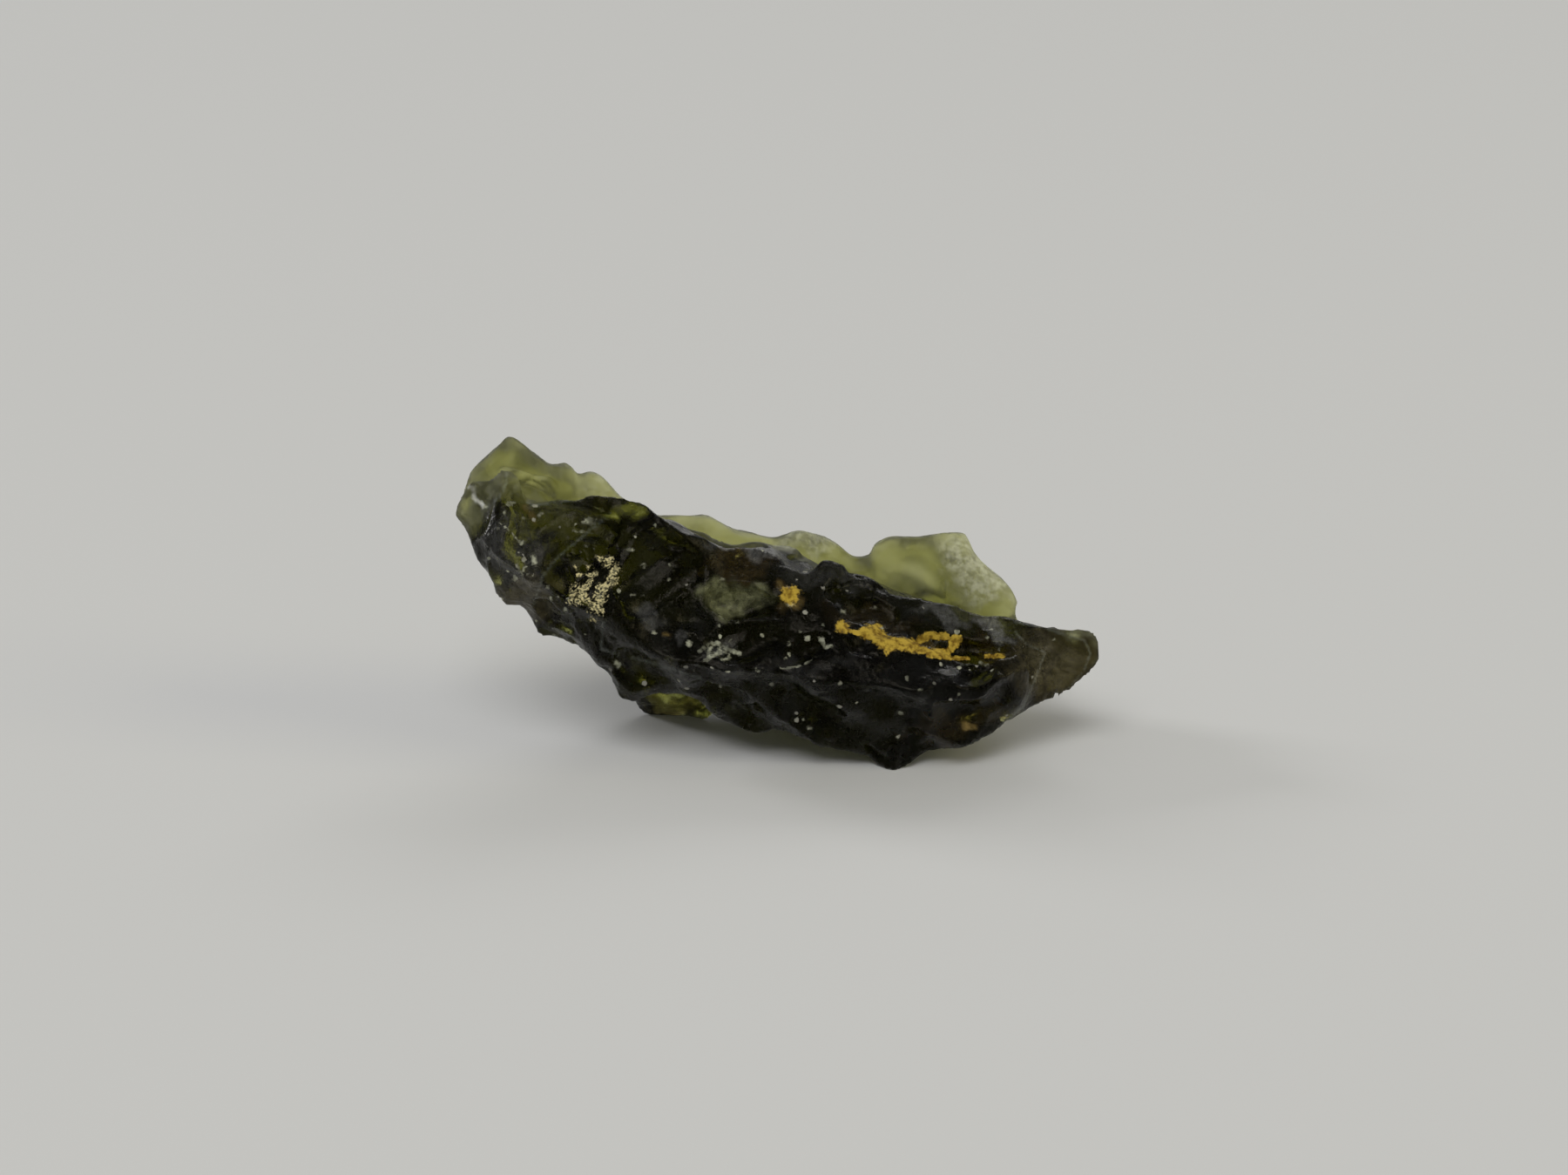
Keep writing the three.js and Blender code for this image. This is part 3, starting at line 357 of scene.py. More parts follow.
def slope_of(field, points):
    """How steeply a field rises along each axis."""
    steps = np.eye(3) * SLOPE_STEP
    rise = np.stack([field(points + step) - field(points - step) for step in steps], axis=-1)
    return rise / (2 * SLOPE_STEP)


def normal_of(field, points):
    return unit(slope_of(field, points))


def surface_along(start, way, reach):
    """First point where the body's surface is crossed on the way from start, or None."""
    way = np.array(way, float)
    s = np.arange(0, reach, SEARCH_STEP)
    values = body_field(np.array(start, float) + s[:, None] * way)
    crossed = np.flatnonzero(values[:-1] * values[1:] < 0)
    if not len(crossed):
        return None
    i = crossed[0]
    share = values[i] / (values[i] - values[i + 1])
    return np.array(start) + (s[i] + share * SEARCH_STEP) * way


# ------------------------------------ scoops
def make_scoop(point, normal, half, depth, turn):
    """An ellipsoid that takes out a dish of this half length, half width and depth."""
    flat = unit(np.array([1.0, 0, 0]) - normal * normal[0])
    side = np.cross(normal, flat)
    angle = math.radians(turn)
    along = math.cos(angle) * flat + math.sin(angle) * side
    radii = np.array([half[0] / RIM_SHARE, half[1] / RIM_SHARE, depth / DIP])
    centre = bend(point[None], SCOOP_WAVES)[0] + normal * (radii[2] - depth)
    return centre, np.array([along, np.cross(normal, along), normal]), radii


def placed_scoops():
    scoops = []
    for side, at, half, depth, turn in SCOOPS:
        start, way = SIDES[side]
        point = surface_along(start(*at), way, SIDE_REACH)
        normal = normal_of(body_field, point[None])[0]
        scoops.append(make_scoop(point, normal, half, depth, turn))
    return scoops


def spread_pits():
    pits = []
    for i in range(PIT_COUNT):
        along, around, size = (0.5 + i * PIT_STEPS) % 1
        x = X_LEFT + PIT_MARGIN + along * (X_RIGHT - X_LEFT - 2 * PIT_MARGIN)
        y, z = (np.mean([np.interp(x, STATIONS, n[c]) for n in SECTION]) for c in (0, 1))
        turn = around * 2 * math.pi
        way = (0, math.cos(turn), math.sin(turn))
        point = surface_along((x, y, z), way, PIT_SEARCH)
        if point is None:
            continue
        normal = normal_of(body_field, point[None])[0]
        far = surface_along(point - SEARCH_STEP * normal, -normal, MOST_ROOM)
        room = MOST_ROOM if far is None else np.linalg.norm(far - point)
        half = PIT_HALF[0] + size * (PIT_HALF[1] - PIT_HALF[0])
        depth = min(PIT_DEPTH * half, PIT_SHARE * room)
        pits.append(make_scoop(point, normal, (half, PIT_FLATNESS * half), depth, 360 * size))
    return pits


def carve(values, points, scoops):
    """Takes the scoops out of a field that is known at some points."""
    bent = bend(points, SCOOP_WAVES)
    order = np.argsort(bent[:, 0])
    x = bent[order, 0]
    for centre, axes, radii in scoops:
        reach = radii.max() * SCOOP_SPARE + 2 * CELL
        first, last = np.searchsorted(x, (centre[0] - reach, centre[0] + reach))
        near = order[first:last]
        offset = bent[near] - centre
        close = (np.abs(offset) < reach).all(axis=1)
        near, offset = near[close], offset[close]
        part = offset @ axes.T / radii
        share = np.linalg.norm(part, axis=1)
        steep = np.maximum(np.linalg.norm(part / radii, axis=1), TINY)
        values[near] = np.maximum(values[near], share * (1 - share) / steep)
    return values


def stone_field(points, scoops):
    """Negative inside the stone. The worn spots lie on the plane z = 0."""
    return np.maximum(carve(body_field(points), points, scoops), -points[:, 2])


# ------------------------------------ meshing
def grid_values(scoops):
    counts = np.ceil((GRID_HIGH - GRID_LOW) / CELL).astype(int) + 1
    lines = [GRID_LOW[a] + CELL * np.arange(counts[a]) for a in range(3)]
    values = np.empty(counts)
    for i, x in enumerate(lines[0]):
        slab = np.stack(np.meshgrid([x], lines[1], lines[2], indexing="ij"), -1).reshape(-1, 3)
        values[i] = body_field(slab).reshape(counts[1], counts[2])
    flat = values.reshape(-1)
    band = np.flatnonzero((flat > BAND[0]) & (flat < BAND[1]))
    points = GRID_LOW + CELL * np.stack(np.unravel_index(band, counts), -1)
    flat[band] = carve(flat[band], points, scoops)
    floor = -lines[2][None, None, :]
    return np.maximum(values, floor)


CORNERS = [(n & 1, n >> 1 & 1, n >> 2 & 1) for n in range(8)]
EDGES = [(a, b) for a in range(8) for b in range(a + 1, 8) if bin(a ^ b).count("1") == 1]


def corner_views(values):
    """The values at each of a cell's eight corners, for all cells at once."""
    n = np.array(values.shape) - 1
    return [values[a:a + n[0], b:b + n[1], c:c + n[2]] for a, b, c in CORNERS]


def pinched(mask):
    """Whether the inside or the outside corners of a cell fall into separate groups."""
    for wanted in (mask, 255 - mask):
        corners = [n for n in range(8) if wanted >> n & 1]
        if not corners:
            continue
        reached = {corners[0]}
        for _ in range(8):
            for a, b in EDGES:
                if (a in reached or b in reached) and a in corners and b in corners:
                    reached |= {a, b}
        if len(reached) < len(corners):
            return True
    return False


PINCHED = np.array([pinched(mask) for mask in range(256)])


def mend_pinches(values):
    """Fills the cells whose surface would pinch, so that every edge has two faces."""
    while True:
        corners = corner_views(values)
        mask = sum((corner < 0).astype(np.uint8) << n for n, corner in enumerate(corners))
        cells = np.argwhere(PINCHED[mask])
        if not len(cells):
            return
        samples = cells[:, None, :] + np.array(CORNERS)
        at = tuple(np.moveaxis(samples, -1, 0))
        here = values[at]
        nearest = np.where(here > 0, here, np.inf).argmin(axis=1)
        picked = samples[np.arange(len(cells)), nearest]
        values[tuple(picked.T)] = FILLED


def contour(values):
    """One vertex in each crossed cell and one quad for each crossed grid edge."""
    corners = corner_views(values)
    inside = [corner < 0 for corner in corners]
    count = sum(i.astype(np.int8) for i in inside)
    crossed = (count > 0) & (count < 8)
    cells = np.argwhere(crossed)
    number = np.full(crossed.shape, -1)
    number[crossed] = np.arange(len(cells))
    total = np.zeros((len(cells), 3))
    hits = np.zeros(len(cells))
    for a, b in EDGES:
        va, vb = corners[a][crossed], corners[b][crossed]
        cut = (va < 0) != (vb < 0)
        share = np.where(cut, va / np.where(cut, va - vb, 1), 0)
        start, end = np.array(CORNERS[a]), np.array(CORNERS[b])
        total += np.where(cut[:, None], start + share[:, None] * (end - start), 0)
        hits += cut
    vertices = GRID_LOW + CELL * (cells + total / hits[:, None])
    quads = []
    for axis in range(3):
        u, v = (axis + 1) % 3, (axis + 2) % 3
        low = values < 0
        ahead = np.roll(low, -1, axis)
        turns = np.argwhere(low != ahead)
        inner = (turns > 0).all(1) & (turns < np.array(values.shape) - 1).all(1)
        turns = turns[inner]
        steps = [np.zeros(3, int) for _ in range(4)]
        for step, (back_u, back_v) in zip(steps, ((1, 1), (0, 1), (0, 0), (1, 0))):
            step[u], step[v] = -back_u, -back_v
        ring = np.stack([number[tuple((turns + step).T)] for step in steps], -1)
        outward = low[tuple(turns.T)]
        quads.append(np.where(outward[:, None], ring, ring[:, ::-1]))
    return vertices, np.concatenate(quads)


def settle(vertices, scoops):
    """Moves the vertices onto the exact surface, in a few short moves."""
    def field(points):
        return stone_field(points, scoops)

    for _ in range(SETTLE_PASSES):
        slope = slope_of(field, vertices)
        size = np.maximum((slope**2).sum(1), FLATTEST)
        move = -(field(vertices) / size)[:, None] * slope
        length = np.linalg.norm(move, axis=1, keepdims=True)
        vertices = vertices + move * np.minimum(1, SETTLE_MOST * CELL / np.maximum(length, TINY))
    return vertices


def largest_part(vertices, quads):
    """Drops crumbs that hang loose from the stone."""
    label = np.arange(len(vertices))
    while True:
        low = label[quads].min(axis=1)
        fresh = label.copy()
        for c in range(4):
            np.minimum.at(fresh, quads[:, c], low)
        fresh = fresh[fresh]
        if (fresh == label).all():
            break
        label = fresh
    names, counts = np.unique(label, return_counts=True)
    kept = label == names[counts.argmax()]
    number = np.cumsum(kept) - 1
    return vertices[kept], number[quads[kept[quads[:, 0]]]]


def on_rim(points):
    """1 on the smooth upper part of the thin rear rim, 0 where the etched glass begins."""
    x, y, z = points.T
    rim_y, rim_z = line_through(RIM, x)
    below = np.hypot(y - rim_y, z - rim_z)
    return np.clip((RIM_SMOOTH - below) / RIM_FADE, 0, 1)


def etch_scoops(scoops, values):
    """Small pits and grooves at random places on the carved surface, most of them small."""
    rng = np.random.default_rng(SEED)
    shell = np.argwhere(np.abs(values) < 0.5 * CELL)
    etched = []
    for kind in ETCH:
        points = GRID_LOW + CELL * shell[rng.integers(len(shell), size=kind["count"])]
        normals = normal_of(lambda p: stone_field(p, scoops), points)
        sizes = rng.random(kind["count"]) ** 2
        turns = rng.random(kind["count"]) * 360
        for point, normal, size, turn in zip(points, normals, sizes, turns):
            if point[2] < ETCH_LOWEST or on_rim(point[None])[0] > ETCH_RIM:
                continue
            half = kind["half"][0] + size * (kind["half"][1] - kind["half"][0])
            shape = (half, half * kind["flatness"])
            etched.append(make_scoop(point, normal, shape, half * kind["depth"], turn))
    return etched


def vertex_normals(vertices, quads):
    across = np.cross(
        vertices[quads[:, 2]] - vertices[quads[:, 0]],
        vertices[quads[:, 3]] - vertices[quads[:, 1]],
    )
    normals = np.zeros_like(vertices)
    for c in range(4):
        np.add.at(normals, quads[:, c], across)
    return unit(normals)


def shape_stone():
    scoops = placed_scoops() + spread_pits()
    rough = grid_values(scoops)
    scoops += etch_scoops(scoops, rough)
    values = grid_values(scoops)
    mend_pinches(values)
    vertices, quads = largest_part(*contour(values))
    vertices = settle(vertices, scoops)
    normals = vertex_normals(vertices, quads)
    lift = np.zeros(len(vertices))
    for waves, height in FINE:
        lift += height * np.array([noise.noise(Vector(p) * waves) for p in vertices])
    lift *= np.clip((vertices[:, 2] - FINE_LOWEST) / FINE_FADE, 0, 1)
    lift *= 1 - (1 - FINE_ON_RIM) * on_rim(vertices)
    vertices = vertices + normals * lift[:, None]
    vertices[:, 2] = np.maximum(vertices[:, 2], 0)
    return vertices, quads


# ------------------------------------ the photograph's view
LOOK_AT = np.array([0.22, -0.82, 8.19])  # mm, middle of the view
DISTANCE = 160.0  # mm, from the camera to the middle of the view
ELEVATION = TILT  # the camera looks down by this angle
PHOTO_WIDTH = 1800  # pixels
PHOTO_MIDDLE = (900, 674.5)  # pixels
PIXELS_PER_MM = 23.0  # at that distance
VIEW_WIDTH = PHOTO_WIDTH / PIXELS_PER_MM
SENSOR = 36.0

RIGHT = np.array([1.0, 0, 0])
AHEAD = np.array([0, math.cos(ELEVATION), -math.sin(ELEVATION)])
UP = np.array([0, math.sin(ELEVATION), math.cos(ELEVATION)])


def in_view(vertices):
    """Where points show in the view, in mm right and up of its middle."""
    offset = vertices - LOOK_AT
    scale = DISTANCE / (DISTANCE + offset @ AHEAD)
    return (offset @ RIGHT) * scale, (offset @ UP) * scale


def read_in_photo(x, y):
    """A place read in the photograph, in mm right and up of the view's middle."""
    return (x - PHOTO_MIDDLE[0]) / PIXELS_PER_MM, (PHOTO_MIDDLE[1] - y) / PIXELS_PER_MM


# ------------------------------------ marks on the front
# All places here were read in the photograph, in its pixels. Each mark is an oval:
# (x, y, half length, half height, turn). Its strength is 1 in the middle and 0 at the edge.
LEAST_HALF = 2.6  # pixels, so that a mark isn't lost between the vertices
# Ochre clay: a round lump, a small one, and the ends of a long groove.
CLAY = [
    (906.7, 683, 13, 13, 0), (966.7, 720, 9, 9, 0), (1097, 735, 10, 7, 10), (1006, 722, 6, 8, 0),
    (1019, 744, 9, 7, 0),
]
# The rest of the clay as lines: half their width, then their points (x, y).
CLAY_LINES = [
    (3, [(972, 723), (981, 726), (991, 727)]),
    (10, [(995, 727), (1005, 726), (1012, 735), (1020, 742)]),
    (9, [(1012, 737), (1034, 740), (1050, 742)]),
    (5.5, [(1050, 742), (1058, 733), (1070, 729.5), (1086, 731)]),
    (5.5, [(1052, 744), (1070, 750), (1088, 748), (1097, 740)]),
    (2.8, [(1064, 752), (1088, 755.5), (1112, 756)]),
    (3.2, [(1132, 753.5), (1152, 753)]),
]
# Pale crusts: dots, short streaks, and an umbrella of fine lines right of the middle.
# Two of these dots are painted glints: (869, 769) and (829, 665).
CRUST_AND_GLINTS = [
    (586, 578, 6, 4, 0), (580, 589, 3, 4, 0), (601, 594, 4, 3, 0), (557, 582, 4, 3, 45),
    (620, 590, 5, 3, 60), (679, 598, 8, 6, 20), (664, 610, 9, 2, -3), (612, 642, 4, 9, 8),
    (595, 652, 3, 7, 15), (591, 664, 4, 5, 0), (673, 627, 4, 3, 0), (666, 633, 3, 3, 0),
    (692, 587, 3, 2, 0), (731, 586, 3, 2, 0), (752, 603, 3, 3, 0), (724, 631, 6, 2, 5),
    (628, 674, 4, 3, 10), (633, 687, 3, 4, 0), (649, 700, 4, 3, 40), (598, 621, 5, 3, 0),
    (561, 641, 3, 3, 0), (708, 762, 5, 6, 0), (751, 726, 4, 3, 10), (838.4, 736, 4, 3.4, 0),
    (846, 714, 3, 3, 0), (869, 769, 6, 3, -15), (902, 756, 3, 3, 0), (906, 738, 3, 4, 0),
    (919, 725, 3, 3, 0), (927, 732, 5, 4, -20), (791, 738.6, 4, 5, 0), (825, 718.5, 3, 3, 0),
    (968, 702, 4, 4, 0), (906, 694, 8, 3, 0), (829, 665, 4, 2, 0), (923, 825, 3, 3, 0),
    (929, 835, 4, 3, -20), (1005, 698, 3, 3, 0), (1133, 732, 3, 3, 0), (1147, 745, 3, 3, 0),
    (1126, 761, 3, 3, 0), (1132, 764, 4, 3, 0), (1056, 792, 4, 3, 0), (1034, 819, 5, 4, 0),
    (1210, 734, 3, 3, 45), (1041, 778, 3, 5, 0), (603, 522, 4, 3, 0), (740, 649, 5, 4, 0),
    (768, 666, 3, 3, 0), (726, 682, 5, 3, 20), (738, 684, 5, 2, 10),
]
CRUST_LINES = [
    (3.2, [(803, 748), (812, 739.5), (824, 738.6), (837, 745.7)]),
    (3.6, [(836, 745.5), (849, 750.4)]),
    (3.4, [(810, 759), (817, 753), (827, 750)]),
    (2.6, [(824, 740), (827, 752)]),
    (2.6, [(818, 741), (812, 750)]),
    (2.6, [(831, 744), (838, 756)]),
    (1.8, [(828, 757), (838, 757)]),
    (3.2, [(940, 732), (947, 742), (955, 742)]),
    (1.6, [(897, 767.5), (910, 766), (920, 764.6)]),
    (2, [(602, 652), (599, 664)]),
    (1.8, [(924, 762), (931, 758)]),
    (1.4, [(573, 600), (588, 612), (600, 628)]),
    (1.4, [(660, 602), (678, 597)]),
]
# Yellowish flakes in one hooked cluster.
FLAKES = [
    (690, 641, 9, 4, 0), (698, 646, 7, 7, 0), (705, 654, 6, 10, 0), (703, 665, 8, 8, 10),
    (694, 673, 9, 6, 45), (691, 680, 7, 8, 0), (688, 689, 7, 10, 15), (685, 696, 5, 6, 0),
    (668, 682, 8, 12, -10), (663, 691, 5, 5, 0), (674, 673, 6, 5, 0), (679, 694, 4, 5, 0),
    (682, 711, 5, 5, 0), (659, 671, 4, 4, 0), (676, 660, 4, 3, 0), (664, 660, 3, 3, 0),
    (676, 650, 4, 3, 0), (684, 658, 4, 4, 0), (677, 668, 4, 5, 0), (685, 672, 3, 3, 0),
    (658, 681, 5, 5, 0), (672, 689, 5, 4, 0), (654, 691, 4, 4, 0), (679, 701, 5, 4, 0),
    (691, 701, 5, 5, 0), (661, 650, 4, 3, 0),
]
# Places where loose crumbs are scattered.
SCATTER = [
    (688, 668, 34, 40, 10), (668, 684, 22, 20, 0), (600, 590, 36, 22, 0), (600, 650, 24, 34, 10),
    (940, 742, 34, 18, -20), (1120, 764, 26, 14, 0),
]
# Thin films with their cover last: grey dust with one painted highlight, brown stain, painted
# pale green light, dark films that are partly painted shade, and a painted pale glow on the rims.
# The first oval is a painted highlight, a white glint on the left tip's edge; the rest are grey
# dust.
DUST_AND_HIGHLIGHT = [
    (544, 572, 5, 12, 10, 0.55), (751, 707, 20, 12, 0, 0.05), (786, 738, 10, 8, 0, 0.05),
    (1078, 706, 44, 12, -15, 0.06), (1140, 722, 34, 12, -20, 0.10), (590, 640, 44, 66, 15, 0.03),
    (640, 600, 56, 34, 0, 0.012), (825, 748, 22, 10, 0, 0.03), (900, 768, 120, 9, 3, 0.015),
    (745, 762, 60, 10, -20, 0.015), (950, 660, 60, 20, -5, 0.02), (1210, 760, 50, 34, -10, 0.012),
    (860, 626, 60, 14, -10, 0.06),
]
STAIN = [
    (850, 648, 56, 26, 0, 0.02), (1114, 835, 12, 10, 0, 0.22), (1074, 741, 16, 11, 0, 0.05),
    (619, 547, 14, 20, 0, 0.10), (612, 588, 9, 8, 0, 0.05), (906, 683, 18, 17, 0, 0.10),
    (771, 729, 7, 6, 0, 0.10), (1095, 832, 70, 20, 10, 0.012), (1000, 712, 70, 18, -8, 0.012),
    (1130, 745, 34, 16, 0, 0.012),
]
# Painted light: pale green covers for the green light that shows through thin glass, the first
# behind the pit, with two fainter patches of it elsewhere.
GREEN_GLOW = [
    (842, 688, 46, 26, 0, 0.15), (1130, 706, 60, 12, -20, 0.04), (600, 560, 40, 20, 0, 0.03),
]
# Dark films that darken the glass. The last is painted shade on the rear foot under the arch,
# where it lies in the stone's shadow; the other two darken the right tip and the lower left.
MURK = [
    (1210, 766, 74, 50, -20, 0.32), (600, 690, 40, 34, -30, 0.30), (770, 812, 60, 16, 0, 0.03),
]
# Painted light: a pale glow on the thin rims and the fin, for the light that shows through them.
RIM_GLOW = [
    (1118, 652, 64, 50, -50, 0.42), (925, 622, 80, 17, 10, 0.30), (700, 562, 44, 22, 20, 0.20),
    (580, 520, 28, 22, 0, 0.06),
]
# Ridge lines, pale from wear and from a painted sheen where their edges catch the light.
WORN_RIDGE_SHEEN = [
    (2.4, [(1165, 725), (1179, 740), (1200, 749), (1192, 770),
           (1183, 793), (1175, 810), (1160, 824)]),
    (3, [(582, 541), (581, 556), (573, 571), (556, 585)]),
    (3, [(700, 590), (670, 615), (640, 640), (624, 660), (612, 695)]),
    (3, [(610, 580), (650, 575), (682, 568)]),
    (3, [(692, 715), (690, 745), (712, 752)]),
    (3, [(724, 754), (767, 767), (805, 779)]),
    (2.4, [(1215, 727), (1245, 735), (1252, 750), (1243, 772), (1222, 795)]),
    (3, [(1165, 714), (1195, 720), (1214, 726)]),
]
FILM_FADE = 2.0  # how fast a film reaches its full cover from its edge
# Waves on the films' edges: height in mm, and radians per mm for the shifts right and up.
FILM_WAVES = [(0.30, (1.1, 2.3), (2.1, -1.3)), (0.15, (-3.7, 5.9), (6.3, 3.1))]
FRONT_BEHIND = 0.6  # mm behind the crest's line where the front's marks end
FRONT_FADE = 0.3  # mm over which they end
FACING_GAIN = 6.0  # how sharply they end on faces that turn away from the camera


def oval_strength(u, v, marks):
    strength = np.full(len(u), -1.0)
    for x, y, length, height, turn in marks:
        right, up = read_in_photo(x, y)
        angle = math.radians(turn)
        du, dv = u - right, v - up
        along = (math.cos(angle) * du + math.sin(angle) * dv) / max(length, LEAST_HALF)
        across = (math.cos(angle) * dv - math.sin(angle) * du) / max(height, LEAST_HALF)
        strength = np.maximum(strength, 1 - np.hypot(along, across) * PIXELS_PER_MM)
    return strength


def line_strength(u, v, lines):
    strength = np.full(len(u), -1.0)
    for half_width, line in lines:
        points = [read_in_photo(x, y) for x, y in line]
        for (u0, v0), (u1, v1) in zip(points[:-1], points[1:]):
            run_u, run_v = u1 - u0, v1 - v0
            t = ((u - u0) * run_u + (v - v0) * run_v) / (run_u**2 + run_v**2)
            t = np.clip(t, 0, 1)
            gap = np.hypot(u - u0 - t * run_u, v - v0 - t * run_v)
            strength = np.maximum(strength, 1 - gap * PIXELS_PER_MM / half_width)
    return strength


def film_cover(u, v, films):
    """Cover of the films, whose edges wander with two short waves."""
    cover = np.zeros(len(u))
    shift_u, shift_v = 0, 0
    for height, (right_u, right_v), (up_u, up_v) in FILM_WAVES:
        shift_u = shift_u + height * np.sin(right_u * u + right_v * v)
        shift_v = shift_v + height * np.sin(up_u * u + up_v * v)
    for *oval, most in films:
        edge = oval_strength(u + shift_u, v + shift_v, [oval])
        edge = np.clip(edge * FILM_FADE, 0, 1)
        cover = np.maximum(cover, most * edge * edge * (3 - 2 * edge))
    return cover


def facing_front(vertices, normals):
    """1 on the front block's face, 0 behind its crest."""
    x, y = vertices[:, 0] + ORIGIN[0], vertices[:, 1] + ORIGIN[1]
    crest_y = line_through(CREST, x)[0]
    before = np.clip((crest_y + FRONT_BEHIND - y) / FRONT_FADE, 0, 1)
    return before * np.clip(0.5 - FACING_GAIN * (normals @ AHEAD), 0, 1)


# ------------------------------------ material helpers
class Nodes:
    """Short calls for building the node tree of a material or a world."""

    def __init__(self, owner):
        owner.use_nodes = True
        self.tree = owner.node_tree
        self.tree.nodes.clear()

    def make(self, kind, inputs=(), **settings):
        made = self.tree.nodes.new(kind)
        for name, value in settings.items():
            setattr(made, name, value)
        for name, value in dict(inputs).items():
            socket = made.inputs[name]
            if isinstance(value, bpy.types.NodeSocket):
                self.tree.links.new(value, socket)
            else:
                socket.default_value = value
        return made

    def math(self, operation, a, b=0.0, c=0.0, clamp=False):
        inputs = {0: a, 1: b, 2: c}
        made = self.make("ShaderNodeMath", inputs, operation=operation, use_clamp=clamp)
        return made.outputs[0]

    def attribute(self, name):
        return self.make("ShaderNodeAttribute", attribute_name=name).outputs["Fac"]

    def ramp(self, value, low, high, to_low=0.0, to_high=1.0):
        """A smooth step from one value at low to another at high."""
        made = self.make(
            "ShaderNodeMapRange",
            {"Value": value, 1: low, 2: high, 3: to_low, 4: to_high},
            interpolation_type="SMOOTHSTEP",
        )
        return made.outputs[0]

    def noise(self, place, scale, detail, rough):
        inputs = {"Vector": place, "Scale": scale, "Detail": detail, "Roughness": rough}
        return self.make("ShaderNodeTexNoise", inputs).outputs["Fac"]

    def mix(self, share, a, b):
        made = self.make("ShaderNodeMix", {0: share, 6: a, 7: b}, data_type="RGBA")
        return made.outputs[2]


def colour(red, green, blue):
    return (red, green, blue, 1.0)


# ------------------------------------ the one material
GLASS_TINT = colour(0.93, 0.96, 0.88)
GLOSS_TINT = colour(0.18, 0.165, 0.135)
GLASS_IOR = 1.49
ABSORPTION_COLOUR = colour(0.70, 0.70, 0.335)
ABSORPTION_DENSITY = 1850.0  # per metre
CLAY_LIGHT = colour(0.58, 0.40, 0.055)
CLAY_DARK = colour(0.20, 0.115, 0.012)
# The crusts' colours, which the two painted glints among them share.
CRUST_LIGHT = colour(0.54, 0.55, 0.41)
CRUST_DARK = colour(0.20, 0.20, 0.13)
FLAKE_COLOUR = colour(0.80, 0.70, 0.36)
SPOT_COLOUR = colour(0.30, 0.29, 0.25)
WORN_RIDGE_SHEEN_COLOUR = colour(0.85, 0.93, 0.84)
# Hues of the covers: the painted glow on the rims, grey dust with a painted highlight, brown
# stain, painted green light, and dark films that are partly painted shade.
FILM_COLOURS = {
    "rim_glow": colour(0.94, 0.95, 0.70),
    "dust_and_highlight": colour(0.90, 0.90, 0.88),
    "stain": colour(0.90, 0.62, 0.20),
    "green": colour(0.90, 0.92, 0.48),
    "murk": colour(0.12, 0.10, 0.045),
}
# Noises: waves per mm, octaves, and the strength of each finer octave.
BROAD = (0.45, 2.0, 0.55)
GRAIN = (3.0, 4.0, 0.65)
FINE_GRAIN = (8.0, 3.0, 0.6)
CRUST_NOISE = (1.7, 3.0, 0.55)
GLOSS_NOISE = (1.2, 2.0, 0.55)
WAVY = (2.2, 2.0, 0.55)
PITTED = (5.0, 2.0, 0.55)
# The marks' ragged edges: the share of the fine grain, and the mean of both grains.
RAGGED_FINE = 0.6
RAGGED_MEAN = 0.8
# How ragged each kind of mark is, and the strength at which it covers all.
MARK_EDGES = {"clay": (1.4, 0.35), "crust_and_glints": (2.0, 0.8), "flakes": (3.2, 0.6), "ridges": (1.8, 1.2)}
# Smooth steps in a noise: from, to, and the two values there where they aren't 0 and 1.
CRUST_GAPS = (0.38, 0.62, 0.3, 0.85)
FLAKE_GAPS = (0.38, 0.56, 0.25, 1.0)
MOTTLING = (0.32, 0.68, 0.4, 1.4)
HAZE = (0.45, 0.8, 0.0, 0.006)
GLOSS = (0.3, 0.7, 0.15, 0.30)
LIGHT_CRUST = (0.35, 0.62)
LIGHT_FLAKE = (0.35, 0.6)
LIGHT_CLAY = (0.36, 0.60)
WORN_RIDGE_SHEEN_COVER = 0.075  # most that the wear and painted sheen of a ridge line covers
LEAST_COVER = 0.0005  # avoids 0 over 0
CRUMBS_PER_MM = 2.4
CRUMB_SIZES = (0.10, 0.38)  # radii, in cells
CRUMB_WOBBLE = 0.5  # of the fine grain, on a crumb's outline
CRUMB_EDGE = 0.08  # in cells
CRUMB_ONSET = 0.06  # chance over which a cell's crumb comes up
RIM_ROUGH = 0.30  # added roughness on the rim
DIRT_AND_GLINT_ROUGH = 0.5  # and on the crumbs, clay, crusts, flakes and painted glints
PIT_HEIGHT = 0.8  # of the pitted noise beside the wavy one
RIM_RELIEF = -0.75  # part of the relief that the rim lacks
DIRT_AND_GLINT_RELIEF = 0.8
BUMP_STRENGTH = 0.6
BUMP_HEIGHT = 0.07  # mm


def crumb_layer(n, place, fine):
    """Crumbs are cells of a Voronoi pattern, of which a few are lit: (cover, random share)."""
    inputs = {"Vector": place, "Scale": CRUMBS_PER_MM, "Randomness": 1.0}
    cells = n.make("ShaderNodeTexVoronoi", inputs)
    chance = n.make("ShaderNodeSeparateColor", {0: cells.outputs["Color"]})
    wobble = n.math("MULTIPLY", n.math("SUBTRACT", fine, 0.5), CRUMB_WOBBLE)
    reach = n.math("ADD", n.ramp(chance.outputs[1], 0.0, 1.0, *CRUMB_SIZES), wobble)
    inside = n.math("SUBTRACT", reach, cells.outputs["Distance"])
    lit = n.math("SUBTRACT", n.attribute("scatter"), chance.outputs[0])
    lit = n.ramp(lit, 0.0, CRUMB_ONSET)
    return n.math("MULTIPLY", n.ramp(inside, 0.0, CRUMB_EDGE), lit), chance.outputs[2]


